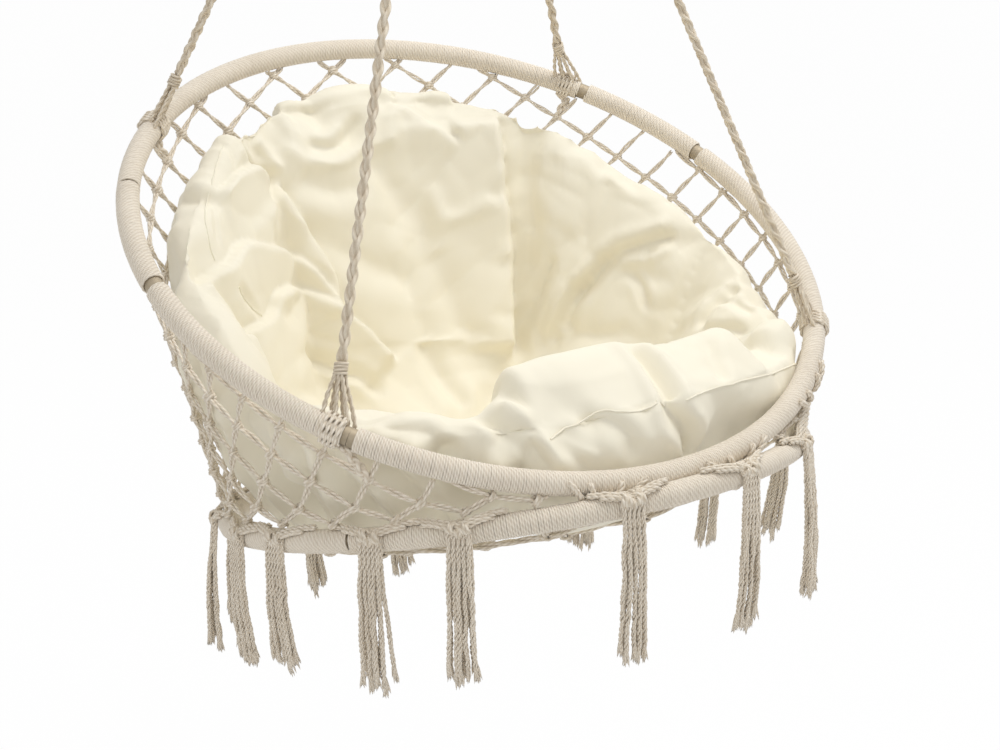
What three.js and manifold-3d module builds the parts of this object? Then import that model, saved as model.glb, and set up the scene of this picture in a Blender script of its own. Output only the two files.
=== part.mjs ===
// Hammock chair: two cord-wound steel hoops joined by a knotted cotton net, with a petal cushion,
// hung by four ropes from a ring and a snap hook. Millimetres, +Z up, front towards -Y.
// The origin is the point inside the top of the hook where the chair hangs.

import * as THREE from 'three';
import { mergeVertices } from 'three/addons/utils/BufferGeometryUtils.js';
import Module from 'manifold-3d';

const wasm = await Module();
wasm.setup();

const degree = Math.PI / 180;
const fullTurn = 360;

// Clearances and overruns
const seatGap = 0.3;
const cutOverrun = 5;

// Hoop tubes and their winding
const tubeDiameter = 19;
const tubeWall = 1.2;
const windingCord = 3;
const tubeSides = 6;
const boreSides = 6;
const windingSides = 10;
const spigotLength = 56;
const bareSteel = 14;
const tieGap = 2;

// Upper hoop, over its winding. Turns are counted in degrees clockwise from the back, seen from above.
const upperOuterDiameter = 800;
const upperTilt = 28.25 * degree;
const upperFacets = 36;
const upperJointTurns = [50.5, 229.5];
const backRightGapTurn = 76.5;
const leftGapTurn = 269.5;
const backLeftTieTurn = 294.5;
const upperWindings = [
  {
    name: 'upper_winding_back', from: backLeftTieTurn - fullTurn, to: upperJointTurns[0],
    startGap: tieGap, endGap: bareSteel,
  },
  {
    name: 'upper_winding_back_right', from: upperJointTurns[0], to: backRightGapTurn,
    startGap: bareSteel, endGap: bareSteel,
  },
  {
    name: 'upper_winding_front', from: backRightGapTurn, to: upperJointTurns[1],
    startGap: bareSteel, endGap: bareSteel,
  },
  {
    name: 'upper_winding_left', from: upperJointTurns[1], to: leftGapTurn,
    startGap: bareSteel, endGap: bareSteel,
  },
  {
    name: 'upper_winding_back_left', from: leftGapTurn, to: backLeftTieTurn,
    startGap: bareSteel, endGap: tieGap,
  },
];

// Seat hoop, over its winding
const seatOuterDiameter = 670;
const seatTilt = -12.8 * degree;
const seatFacets = 32;
const seatJointTurns = [62, 242];
const seatWindings = [
  {
    name: 'seat_winding_right', from: seatJointTurns[0], to: seatJointTurns[1],
    startGap: tieGap, endGap: tieGap,
  },
  {
    name: 'seat_winding_left', from: seatJointTurns[1], to: seatJointTurns[0] + fullTurn,
    startGap: tieGap, endGap: tieGap,
  },
];
const hoopTouchGap = 0.5;
const hoopTouchLean = 26.9 * degree;

// Hanging height and balance: the hoops lie this far under the neck and this far forward
const neckHeight = 757;
const balanceForward = 10;

// Ropes and the splayed strands that grip the upper hoop
const ropeDiameter = 11;
const ropeSides = 10;
const frontRopeTurn = 128;
const backRopeTurn = 46.8;
const ropeBundleRadius = 9.2;
const splayHeight = 50;
const splayHalfWidth = 17;
const splayStrand = 4.2;
const splayStrandCount = 5;
const splayStrandEndShare = 0.75;
const whippingDiameter = 15;
const whippingLength = 13;
const whippingSides = 8;

// Net between the hoops
const netColumns = 28;
const netPanels = 8;
const netRowPitch = 31;
const netFirstRow = 24;
const netMountHeight = 6.4;
const netEndGap = 2.9;
const netKnotGap = 1;
const shortestLeg = 9;
const knotReach = 5.5;
const knotCrown = 4.6;
const cordPairThickness = 4.2;
const cordPairWidth = 6.4;
const panelGap = 1.7;
const longestTopLegShare = 0.88;

// Seat net
const seatNetPitch = 60;
const seatSag = 50;
const seatNetEdge = 14;
const seatNetEndGap = 2.3;

// Tassels round the seat hoop, as shares of a full turn clockwise from the back
const tasselTurnShares = [
  0.0125, 0.0715, 0.136, 0.228, 0.295, 0.4035, 0.468, 0.5365,
  0.6155, 0.658, 0.7167, 0.7535, 0.82, 0.872, 0.948,
];
const tasselLength = 150;
const tasselHeadRadius = 12;
const tasselHeadHeight = 20;
const tasselNeckRadius = 10;
const tasselEndRadius = 16;
const tasselOutward = 5;
const tasselSides = 8;

// Cushion: a bowl of eight unequal petals with drawn-in seams between them. Its outer side lies
// against the nets, its ridge stands off from the upper hoop, and the petals at the front make a
// bolster. Each pair of shares gives a place across the bowl and one up its side.
const petalSeamShares = [0.111, 0.244, 0.333, 0.458, 0.597, 0.717, 0.806, 0.922];
const petalFacets = 6;
const cushionOuterShares = [
  [0.28, 0], [0.54, 0.01], [0.76, 0.05], [0.9, 0.16], [0.97, 0.38], [1, 0.66], [0.99, 0.9],
];
const cushionInnerShares = [[0.95, 0.93], [0.87, 0.72], [0.79, 0.45], [0.68, 0.2], [0.52, 0.06], [0.3, 0]];
const cushionSeatThickness = 75;
const cushionNetGap = 5.4;
const cushionWallGap = 9;
const cushionFrontWallGap = 18;
const ridgeInset = 46;
const bolsterInset = 105;
const ridgeDrop = 37;
const bolsterHeight = 98;
const bolsterTurn = 125 * degree;
const hoopPassStart = 85 * degree;
const seamDepth = 26;
const seamDip = 20;

// Snap hook, in the plane of Y and Z
const hookWire = 8;
const hookTopRadius = 14;
const hookFootRadius = 12;
const hookHeight = 60;
const hookSides = 8;
const hookSteps = 30;
const noseLength = 5;
const gatePinRise = 6;
const gatePinDiameter = 3;
const gatePinClearance = 0.4;
const tongueThickness = 3;
const tongueLength = 11;
const gateDiameter = 8;
const gateNoseGap = 0.5;
const gateEarRadius = 4;
const gateSlotDepth = 7;
const pinSides = 8;

// Hanging ring
const ringWire = 8;
const ringDiameter = 60;
const ringFacets = 24;

// Rope loops over the ring, and the whipping that binds them at the neck
const loopBendRadius = 12.5;
const loopHang = 1;
const loopSpacing = 12.4;
const loopLegSpacing = 11.6;
const loopSides = 6;
const loopSteps = 18;
const neckDrop = 26;
const neckLength = 30;
const neckInnerRadius = 15;
const neckWall = 3.5;
const neckSides = 16;
const loopEndInset = 2;

// Sizes worked out from those above
const tubeRadius = tubeDiameter / 2;
const windingRadius = tubeRadius + windingCord;
const upperRadius = upperOuterDiameter / 2 - windingRadius;
const seatRadius = seatOuterDiameter / 2 - windingRadius;
const hookTopZ = hookWire / 2;
const hookFootZ = hookTopZ - hookHeight;
const ringRadius = (ringDiameter - ringWire) / 2;
const ringZ = hookFootZ + hookWire / 2 + seatGap + ringWire / 2 - ringRadius;
const ringFootZ = ringZ - ringRadius;
const neckTopZ = ringFootZ - neckDrop;
const neckFootZ = neckTopZ - neckLength;
const hoopCentre = new THREE.Vector3(0, -balanceForward, neckFootZ - neckHeight);
const seatCentre = findSeatCentre();

const cotton = { color: 0xd9cdbc, roughness: 0.95, metalness: 0 };
const cottonShade = { color: 0xcbbba3, roughness: 0.95, metalness: 0 };
const steel = { color: 0xb9ae98, roughness: 0.42, metalness: 0.85 };
const zinc = { color: 0xb4b6b8, roughness: 0.35, metalness: 0.9 };
const canvas = { color: 0xf1e8cd, roughness: 0.85, metalness: 0 };

// The seat hoop's centre, which follows from the two windings touching at the front
function findSeatCentre() {
  const touch = 2 * windingRadius + hoopTouchGap;
  const frontY = -upperRadius * Math.cos(upperTilt) - touch * Math.cos(hoopTouchLean);
  const frontZ = -upperRadius * Math.sin(upperTilt) - touch * Math.sin(hoopTouchLean);
  const centreY = frontY + seatRadius * Math.cos(seatTilt);
  const centreZ = frontZ + seatRadius * Math.sin(seatTilt);
  return new THREE.Vector3(0, centreY, centreZ);
}

function circleShape(radius, sides) {
  const shape = new THREE.Shape();
  for (let i = 0; i < sides; i += 1) {
    const a = (i / sides) * 2 * Math.PI;
    const x = radius * Math.cos(a);
    const y = radius * Math.sin(a);
    if (i === 0) shape.moveTo(x, y);
    else shape.lineTo(x, y);
  }
  shape.closePath();
  return shape;
}

// Closed solids and their meshes
function toSolid(geometry) {
  const bare = geometry.index ? geometry.clone() : geometry;
  bare.deleteAttribute('normal');
  bare.deleteAttribute('uv');
  const merged = mergeVertices(bare, 1e-4);
  const triangles = [];
  const index = merged.index.array;
  for (let i = 0; i < index.length; i += 3) {
    const [a, b, c] = [index[i], index[i + 1], index[i + 2]];
    if (a !== b && b !== c && c !== a) triangles.push(a, b, c);
  }
  return new wasm.Manifold(new wasm.Mesh({
    numProp: 3,
    vertProperties: new Float32Array(merged.attributes.position.array),
    triVerts: new Uint32Array(triangles),
  }));
}

function toGeometry(solid) {
  const mesh = solid.getMesh();
  const geometry = new THREE.BufferGeometry();
  const corners = new Float32Array(mesh.numVert * 3);
  for (let i = 0; i < mesh.numVert; i += 1) {
    for (let k = 0; k < 3; k += 1) corners[3 * i + k] = mesh.vertProperties[mesh.numProp * i + k];
  }
  geometry.setAttribute('position', new THREE.BufferAttribute(corners, 3));
  geometry.setIndex(new THREE.BufferAttribute(new Uint32Array(mesh.triVerts), 1));
  return geometry;
}

function meshOf(name, shape, finish) {
  const geometry = shape instanceof THREE.BufferGeometry ? shape : toGeometry(shape);
  const mesh = new THREE.Mesh(geometry, new THREE.MeshStandardMaterial(finish));
  mesh.name = name;
  return mesh;
}

// A full ring of round section about Z, turned so that its facets start at the back
function ringSolid(radius, sectionRadius, sides, facets) {
  const profile = [];
  for (let i = 0; i <= sides; i += 1) {
    const a = (i / sides) * 2 * Math.PI;
    profile.push(new THREE.Vector2(
      radius + sectionRadius * Math.cos(a),
      sectionRadius * Math.sin(a),
    ));
  }
  profile[sides].copy(profile[0]);
  return toSolid(new THREE.LatheGeometry(profile, facets).rotateX(-Math.PI / 2));
}

// A slice of pie about Z, from one turn in degrees to another, that keeps part of a ring
function pieSolid(radius, from, to) {
  const reach = radius * 2;
  const fans = Math.ceil((to - from) / 30);
  const shape = new THREE.Shape();
  shape.moveTo(0, 0);
  for (let i = 0; i <= fans; i += 1) {
    const a = (from + ((to - from) * i) / fans) * degree;
    shape.lineTo(reach * Math.sin(a), reach * Math.cos(a));
  }
  shape.closePath();
  const depth = radius;
  const slab = new THREE.ExtrudeGeometry(shape, { depth, bevelEnabled: false });
  return toSolid(slab.translate(0, 0, -depth / 2));
}

function ringPart(ring, radius, from, to, startGap, endGap) {
  const startTurn = from + startGap / 2 / radius / degree;
  const endTurn = to - endGap / 2 / radius / degree;
  return ring.intersect(pieSolid(radius, startTurn, endTurn));
}

// One hoop: two bent tubes, the spigots inside their joints, and the winding over them
function hoopGroup(prefix, radius, facets, joints, windings) {
  const hoop = new THREE.Group();
  const boreRadius = tubeRadius - tubeWall;
  const outer = ringSolid(radius, tubeRadius, tubeSides, facets);
  const tube = outer.subtract(ringSolid(radius, boreRadius, boreSides, facets));
  const plug = ringSolid(radius, boreRadius - seatGap, boreSides, facets);
  const sleeve = ringSolid(radius, windingRadius, windingSides, facets)
    .subtract(ringSolid(radius, tubeRadius + seatGap, tubeSides, facets));
  const [first, second] = joints;
  for (const [side, from, to] of [['right', first, second], ['left', second, first + fullTurn]]) {
    hoop.add(meshOf(`${prefix}_tube_${side}`, ringPart(tube, radius, from, to, seatGap, seatGap), steel));
  }
  for (const [side, turn] of [['right', first], ['left', second]]) {
    const half = spigotLength / 2 / radius / degree;
    hoop.add(meshOf(`${prefix}_spigot_${side}`, ringPart(plug, radius, turn - half, turn + half, 0, 0), steel));
  }
  for (const { name, from, to, startGap, endGap } of windings) {
    hoop.add(meshOf(name, ringPart(sleeve, radius, from, to, startGap, endGap), cotton));
  }
  return hoop;
}

// Points on the two hoops' centrelines, seen from the upper hoop's centre
function upperPoint(turn) {
  const y = upperRadius * Math.cos(turn);
  return new THREE.Vector3(upperRadius * Math.sin(turn), y * Math.cos(upperTilt), y * Math.sin(upperTilt));
}

function seatPoint(turn, radius = seatRadius, below = 0) {
  const y = radius * Math.cos(turn);
  const point = new THREE.Vector3(radius * Math.sin(turn), y, -below);
  return point.applyAxisAngle(new THREE.Vector3(1, 0, 0), seatTilt).add(seatCentre);
}

// The net's surface: straight lines from hoop to hoop, at a height above the seat winding
function netDepth(turn) {
  return upperPoint(turn).distanceTo(seatPoint(turn)) - 2 * windingRadius;
}

function netPoint(turn, height) {
  const foot = seatPoint(turn);
  const up = upperPoint(turn).sub(foot).normalize();
  return foot.addScaledVector(up, windingRadius + height);
}

function netFrame(turn, height) {
  const point = netPoint(turn, height);
  const up = upperPoint(turn).sub(seatPoint(turn)).normalize();
  const along = netPoint(turn + degree, height).sub(netPoint(turn - degree, height));
  along.addScaledVector(up, -along.dot(up)).normalize();
  return { point, up, along, out: new THREE.Vector3().crossVectors(along, up) };
}

// A net is woven as one closed mesh: each knot has four corners on its front and four on its
// back, and each pair of cords spans from two corners of one knot to two corners of the next.
class NetWeaver {
  constructor() {
    this.corners = [];
    this.triangles = [];
  }

  add(point) {
    this.corners.push(point.x, point.y, point.z);
    return this.corners.length / 3 - 1;
  }

  quad(a, b, c, d) {
    this.triangles.push(a, b, c, a, c, d);
  }

  // Slots run up-right, up-left, down-left, down-right; slot k lies between corners k and k + 1
  knot(frame, crown = knotCrown) {
    const { point, up, along, out } = frame;
    const reaches = [[1, 0], [0, 1], [-1, 0], [0, -1]];
    const side = (sign) => reaches.map(([right, rise]) => this.add(point.clone()
      .addScaledVector(along, right * knotReach)
      .addScaledVector(up, rise * knotReach)
      .addScaledVector(out, (sign * cordPairThickness) / 2)));
    const front = side(1);
    const back = side(-1);
    const frontCrown = this.add(point.clone().addScaledVector(out, crown));
    const backCrown = this.add(point.clone().addScaledVector(out, -crown));
    for (let k = 0; k < 4; k += 1) {
      const next = (k + 1) % 4;
      this.triangles.push(front[k], front[next], frontCrown);
      this.triangles.push(back[next], back[k], backCrown);
    }
    return { frame, front, back, used: [false, false, false, false] };
  }

  slotRing(knot, slot) {
    const next = (slot + 1) % 4;
    return [knot.front[slot], knot.front[next], knot.back[next], knot.back[slot]];
  }

  // A free end, square to the cords, that stops at a hoop or at a knot of the next panel
  endRing(from, to, out) {
    const run = to.clone().sub(from).normalize();
    const across = new THREE.Vector3().crossVectors(run, out).normalize();
    const normal = new THREE.Vector3().crossVectors(across, run).normalize();
    const corner = (side, face) => this.add(to.clone()
      .addScaledVector(across, (side * cordPairWidth) / 2)
      .addScaledVector(normal, (face * cordPairThickness) / 2));
    return [corner(1, 1), corner(-1, 1), corner(-1, -1), corner(1, -1)];
  }

  leg(start, end) {
    for (let k = 0; k < 4; k += 1) {
      const next = (k + 1) % 4;
      this.quad(start[next], start[k], end[k], end[next]);
    }
  }

  linkKnots(a, slotA, b, slotB) {
    const start = this.slotRing(a, slotA);
    const [b0, b1, b2, b3] = this.slotRing(b, slotB);
    this.leg(start, [b1, b0, b3, b2]);
    a.used[slotA] = true;
    b.used[slotB] = true;
  }

  linkEnd(a, slot, to) {
    const start = this.slotRing(a, slot);
    const end = this.endRing(a.frame.point, to, a.frame.out);
    this.leg(start, end);
    this.quad(end[3], end[2], end[1], end[0]);
    a.used[slot] = true;
  }

  closeSlots(knots) {
    for (const knot of knots) {
      knot.used.forEach((used, slot) => {
        const [f0, f1, b1, b0] = this.slotRing(knot, slot);
        if (!used) this.quad(f1, f0, b0, b1);
      });
    }
  }

  geometry() {
    const geometry = new THREE.BufferGeometry();
    geometry.setAttribute('position', new THREE.Float32BufferAttribute(this.corners, 3));
    geometry.setIndex(this.triangles);
    return geometry;
  }
}

const slotSteps = [[1, 1], [-1, 1], [-1, -1], [1, -1]];

// The height of a knot that sits on the seat winding, where the net may cross it at a slant
function mountHeight(turn) {
  const up = upperPoint(turn).sub(seatPoint(turn)).normalize();
  const tangent = seatPoint(turn + degree).sub(seatPoint(turn - degree)).normalize();
  const slant = Math.sqrt(1 - up.dot(tangent) ** 2);
  return (windingRadius + netMountHeight) / slant - windingRadius;
}

function upperHoopDistance(point) {
  const local = point.clone().applyAxisAngle(new THREE.Vector3(1, 0, 0), -upperTilt);
  return Math.hypot(Math.hypot(local.x, local.y) - upperRadius, local.z);
}

// Where a pair of cords that leaves a knot upwards meets the upper hoop's winding
function topEnd(turn, height, step, side) {
  const halfColumn = Math.PI / netColumns;
  const reach = windingRadius + netEndGap;
  const place = (share) => netPoint(turn + side * share * halfColumn, height + share * step);
  let low = 0;
  let high = longestTopLegShare;
  for (let i = 0; i < 24; i += 1) {
    const middle = (low + high) / 2;
    if (upperHoopDistance(place(middle)) > reach) low = middle;
    else high = middle;
  }
  return place(low);
}

function sideNetPanels() {
  const halfColumns = netColumns * 2;
  const halfColumn = Math.PI / netColumns;
  const perPanel = halfColumns / netPanels;
  const weavers = Array.from({ length: netPanels }, () => new NetWeaver());
  const knotsOf = weavers.map(() => []);
  const places = new Map();
  const key = (column, row) => `${(column + halfColumns) % halfColumns},${row}`;
  const rowHeight = (column, row) => (
    row < 0 ? mountHeight(column * halfColumn) : netFirstRow + row * netRowPitch);
  const fits = (column, row) => {
    const turn = column * halfColumn;
    const height = rowHeight(column, row);
    const clear = upperHoopDistance(netPoint(turn, height)) > windingRadius + netKnotGap;
    return clear && height < netDepth(turn);
  };
  const rows = Math.ceil(netDepth(0) / netRowPitch);
  for (let column = 0; column < halfColumns; column += 1) {
    for (let row = -1; row < rows; row += 1) {
      const onGrid = (column + row + 1) % 2 === 0;
      const carried = row >= 0 || fits(column - 1, 0) || fits(column + 1, 0);
      if (onGrid && carried && fits(column, row)) places.set(key(column, row), { column, row });
    }
  }
  for (const place of places.values()) {
    place.panel = Math.floor(place.column / perPanel);
    place.turn = place.column * halfColumn;
    place.height = rowHeight(place.column, place.row);
    place.knot = weavers[place.panel].knot(netFrame(place.turn, place.height));
    knotsOf[place.panel].push(place.knot);
  }
  for (const place of places.values()) {
    const weaver = weavers[place.panel];
    slotSteps.forEach(([side, rise], slot) => {
      const other = places.get(key(place.column + side, place.row + rise));
      if (other && other.panel === place.panel) {
        if (rise > 0) weaver.linkKnots(place.knot, slot, other.knot, (slot + 2) % 4);
      } else if (other) {
        const forward = (place.panel + 1) % netPanels === other.panel;
        if (forward) {
          const target = other.knot.frame.point;
          const back = place.knot.frame.point.clone().sub(target).normalize();
          const stop = knotReach * Math.SQRT1_2 + panelGap;
          weaver.linkEnd(place.knot, slot, target.clone().addScaledVector(back, stop));
        }
      } else if (rise > 0) {
        const step = rowHeight(place.column, place.row + 1) - place.height;
        const end = topEnd(place.turn, place.height, step, side);
        if (end.distanceTo(place.knot.frame.point) > shortestLeg) weaver.linkEnd(place.knot, slot, end);
      }
    });
  }
  return weavers.map((weaver, panel) => {
    weaver.closeSlots(knotsOf[panel]);
    const net = toSolid(weaver.geometry()).subtract(upperKeepOut);
    return meshOf(`side_net_${panel + 1}`, net, cotton);
  });
}

// The seat net: a diamond mesh across the seat hoop that sags in the middle
function seatNetFrame(x, y) {
  const turn = Math.atan2(x, y);
  const radius = Math.hypot(x, y);
  const share = radius / seatRadius;
  const point = seatPoint(turn, radius, seatSag * (1 - share * share));
  const tilt = new THREE.Vector3(1, 0, 0);
  const up = new THREE.Vector3(0, 1, 0).applyAxisAngle(tilt, seatTilt);
  const along = new THREE.Vector3(1, 0, 0);
  return { point, up, along, out: new THREE.Vector3(0, 0, 1).applyAxisAngle(tilt, seatTilt) };
}

function seatNet() {
  const weaver = new NetWeaver();
  const reach = Math.ceil(seatRadius / seatNetPitch);
  const places = new Map();
  const inner = seatRadius - windingRadius - seatNetEndGap;
  for (let column = -reach; column <= reach; column += 1) {
    for (let row = -reach; row <= reach; row += 1) {
      const x = column * seatNetPitch;
      const y = row * seatNetPitch;
      const onGrid = (column + row) % 2 === 0;
      if (onGrid && Math.hypot(x, y) < inner - seatNetEdge) {
        places.set(`${column},${row}`, { column, row, knot: weaver.knot(seatNetFrame(x, y)) });
      }
    }
  }
  for (const { column, row, knot } of places.values()) {
    slotSteps.forEach(([side, rise], slot) => {
      const other = places.get(`${column + side},${row + rise}`);
      if (other) {
        if (rise > 0) weaver.linkKnots(knot, slot, other.knot, (slot + 2) % 4);
      } else {
        weaver.linkEnd(knot, slot, seatNetEnd(column, row, side, rise, inner));
      }
    });
  }
  weaver.closeSlots([...places.values()].map((place) => place.knot));
  return meshOf('seat_net', weaver.geometry(), cottonShade);
}

// Where a pair of cords that leaves a knot of the seat net meets the hoop
function seatNetEnd(column, row, side, rise, inner) {
  let low = 0;
  let high = 2;
  const place = (share) => [(column + side * share) * seatNetPitch, (row + rise * share) * seatNetPitch];
  for (let i = 0; i < 40; i += 1) {
    const middle = (low + high) / 2;
    if (Math.hypot(...place(middle)) < inner) low = middle;
    else high = middle;
  }
  return seatNetFrame(...place(low)).point;
}

// A straight rope from one point to another
function rodSolid(from, to, radius, sides, endRadius = radius) {
  const run = to.clone().sub(from);
  const rod = new THREE.CylinderGeometry(endRadius, radius, run.length(), sides);
  rod.translate(0, run.length() / 2, 0);
  const turn = new THREE.Quaternion().setFromUnitVectors(new THREE.Vector3(0, 1, 0), run.normalize());
  rod.applyQuaternion(turn);
  return toSolid(rod.translate(from.x, from.y, from.z));
}

// One rope with its whipping and the strands that splay out over the hoop
function suspension(name, turnDegrees) {
  const turn = turnDegrees * degree;
  const grip = upperPoint(turn);
  const neck = new THREE.Vector3(0, 0, neckFootZ).sub(hoopCentre);
  const outward = new THREE.Vector3(grip.x, grip.y - neck.y, 0).normalize();
  const top = neck.clone().addScaledVector(outward, ropeBundleRadius);
  const run = top.clone().sub(grip).normalize();
  const lean = Math.sqrt(1 - run.z * run.z);
  top.z -= seatGap + (ropeDiameter / 2) * lean;
  const line = top.clone().sub(grip).normalize();
  const whippingFoot = grip.clone().addScaledVector(line, splayHeight);
  const whippingTop = whippingFoot.clone().addScaledVector(line, whippingLength);
  const ropeFoot = whippingTop.clone().addScaledVector(line, seatGap);
  const rope = meshOf(`rope_${name}`, rodSolid(ropeFoot, top, ropeDiameter / 2, ropeSides), cotton);

  let splay = rodSolid(whippingFoot, whippingTop, whippingDiameter / 2, whippingSides);
  const along = upperPoint(turn + degree).sub(upperPoint(turn - degree)).normalize();
  const root = whippingFoot.clone().addScaledVector(line, whippingLength / 2);
  for (let i = 0; i < splayStrandCount; i += 1) {
    const share = (2 * i) / (splayStrandCount - 1) - 1;
    const foot = grip.clone().addScaledVector(along, share * splayHalfWidth);
    const start = root.clone().addScaledVector(along, (share * (whippingDiameter - splayStrand)) / 2);
    const strand = rodSolid(foot, start, splayStrand * splayStrandEndShare, boreSides, splayStrand / 2);
    splay = splay.add(strand);
  }
  const grips = meshOf(`splay_${name}`, splay.subtract(upperKeepOut), cotton);
  return [rope, grips];
}

// One tassel: a knotted head that cups the seat hoop and a skirt of loose cords below it
function tassel(share, index) {
  const turn = share * 2 * Math.PI;
  const centre = seatPoint(turn);
  const outward = new THREE.Vector3(Math.sin(turn), Math.cos(turn), 0);
  const profile = [
    new THREE.Vector2(0, 0),
    new THREE.Vector2(tasselHeadRadius, 0),
    new THREE.Vector2(tasselHeadRadius, -tasselHeadHeight - windingRadius),
    new THREE.Vector2(tasselNeckRadius, -tasselHeadHeight - tasselHeadRadius - windingRadius),
    new THREE.Vector2(tasselEndRadius, -tasselLength),
    new THREE.Vector2(0, -tasselLength),
  ].reverse();
  const body = new THREE.LatheGeometry(profile, tasselSides).rotateX(Math.PI / 2);
  body.rotateZ(-turn);
  const place = centre.clone().addScaledVector(outward, tasselOutward);
  const solid = toSolid(body.translate(place.x, place.y, place.z));
  return meshOf(`tassel_${String(index + 1).padStart(2, '0')}`, solid.subtract(seatKeepOut), cottonShade);
}

// A point inside the nets at a turn and a height, a gap in from them and a share of the way out
function insideNet(turn, z, gap, share) {
  const foot = seatPoint(turn);
  const head = upperPoint(turn);
  const rise = THREE.MathUtils.clamp((z - foot.z) / (head.z - foot.z), 0, 1);
  const axis = seatCentre.clone().multiplyScalar(1 - rise);
  const wall = foot.lerp(head, rise).sub(axis);
  wall.z = 0;
  const reach = wall.length();
  wall.setLength((reach - gap) * share);
  return new THREE.Vector3(axis.x + wall.x, axis.y + wall.y, z);
}

// The height of the seat net under a point, with room for its knots
function seatNetHeight(point) {
  const forward = (point.y - seatCentre.y) / Math.cos(seatTilt);
  const share = Math.hypot(point.x, forward) / seatRadius;
  const sag = (seatSag * (1 - share * share)) / Math.cos(seatTilt);
  return seatCentre.z + forward * Math.sin(seatTilt) - sag + cushionNetGap;
}

// One slice of the cushion at a turn: the ridge, and the rings outside and inside it
function cushionSlice(turn, fullness) {
  const drawn = 1 - fullness;
  const fromBack = Math.abs(Math.PI - Math.abs(turn - Math.PI));
  const front = THREE.MathUtils.smoothstep(fromBack, bolsterTurn, Math.PI);
  const past = THREE.MathUtils.smoothstep(fromBack, hoopPassStart, bolsterTurn);
  const wallGap = cushionWallGap + (cushionFrontWallGap - cushionWallGap) * past;
  const crest = Math.max(upperPoint(turn).z - ridgeDrop, -bolsterHeight) - seamDip * drawn;
  const inset = ridgeInset + (bolsterInset - ridgeInset) * front;
  const ridge = insideNet(turn, crest, inset, 1);
  const outer = cushionOuterShares.map(([across, up]) => {
    const low = seatNetHeight(insideNet(turn, seatPoint(turn).z, wallGap, across));
    return insideNet(turn, low + (crest - low) * up, wallGap + seamDip * drawn * up, across);
  });
  const axis = insideNet(turn, crest, 0, 0);
  const inner = cushionInnerShares.map(([across, up]) => {
    const place = axis.clone().lerp(ridge, across);
    const depth = seamDepth * drawn * Math.sin(Math.PI * across) ** 0.5;
    place.add(ridge.clone().sub(axis).setLength(depth));
    const low = seatNetHeight(place) + cushionSeatThickness - seamDip * drawn;
    place.z = low + (crest - low) * up;
    return place;
  });
  return [...outer, ridge, ...inner];
}

function cushion() {
  const slices = [];
  petalSeamShares.forEach((seam, petal) => {
    const next = petal + 1 < petalSeamShares.length ? petalSeamShares[petal + 1] : petalSeamShares[0] + 1;
    for (let i = 0; i < petalFacets; i += 1) {
      const share = i / petalFacets;
      const turn = ((seam + (next - seam) * share) % 1) * 2 * Math.PI;
      slices.push(cushionSlice(turn, Math.sqrt(Math.sin(Math.PI * share))));
    }
  });
  const middle = seatCentre.clone();
  middle.z = seatNetHeight(middle);
  const corners = [middle, middle.clone().add(new THREE.Vector3(0, 0, cushionSeatThickness))];
  const rings = slices[0].length;
  const triangles = [];
  slices.forEach((slice, i) => {
    corners.push(...slice);
    const here = 2 + i * rings;
    const next = 2 + ((i + 1) % slices.length) * rings;
    triangles.push(0, here, next, 1, next + rings - 1, here + rings - 1);
    for (let k = 0; k < rings - 1; k += 1) {
      triangles.push(here + k, here + k + 1, next + k + 1);
      triangles.push(here + k, next + k + 1, next + k);
    }
  });
  const geometry = new THREE.BufferGeometry().setFromPoints(corners);
  geometry.setIndex(triangles);
  return meshOf('cushion', geometry, canvas);
}

// The snap hook's wire: foot bend, spine and top bend, from the gate's hinge round to the nose
function hookPath() {
  const footCentreZ = hookFootZ + hookFootRadius;
  const topCentreZ = hookTopZ - hookTopRadius;
  const points = [new THREE.Vector3(0, hookFootRadius, footCentreZ + tongueLength)];
  const bends = [
    [footCentreZ, hookFootRadius, 0, -180],
    [topCentreZ, hookTopRadius, 180, 0],
  ];
  for (const [z, radius, from, to] of bends) {
    const steps = 10;
    for (let i = 0; i <= steps; i += 1) {
      const a = (from + ((to - from) * i) / steps) * degree;
      points.push(new THREE.Vector3(0, radius * Math.cos(a), z + radius * Math.sin(a)));
    }
  }
  points.push(new THREE.Vector3(0, hookTopRadius, topCentreZ - noseLength));
  return new THREE.CatmullRomCurve3(points, false, 'centripetal');
}

const gatePivot = new THREE.Vector3(0, hookFootRadius, hookFootZ + hookFootRadius + gatePinRise);

function crossBore(diameter, length) {
  const bore = new THREE.CylinderGeometry(diameter / 2, diameter / 2, length, pinSides);
  bore.rotateZ(Math.PI / 2);
  return toSolid(bore.translate(gatePivot.x, gatePivot.y, gatePivot.z));
}

function boxSolid(width, depth, height, x, y, z) {
  return toSolid(new THREE.BoxGeometry(width, depth, height).translate(x, y, z));
}

function snapHook() {
  const wire = new THREE.ExtrudeGeometry(circleShape(hookWire / 2, hookSides), {
    steps: hookSteps, extrudePath: hookPath(), bevelEnabled: false,
  });
  const flatHeight = tongueLength + cutOverrun;
  const flatZ = hookFootZ + hookFootRadius + seatGap + flatHeight / 2;
  const flatWidth = hookWire;
  const flatX = tongueThickness / 2 + flatWidth / 2;
  let body = toSolid(wire);
  for (const side of [-1, 1]) {
    body = body.subtract(boxSolid(flatWidth, hookWire + cutOverrun, flatHeight,
      side * flatX, hookFootRadius, flatZ));
  }
  body = body.subtract(crossBore(gatePinDiameter + 2 * gatePinClearance, hookWire + cutOverrun));
  return meshOf('snap_hook', body, zinc);
}

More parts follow.
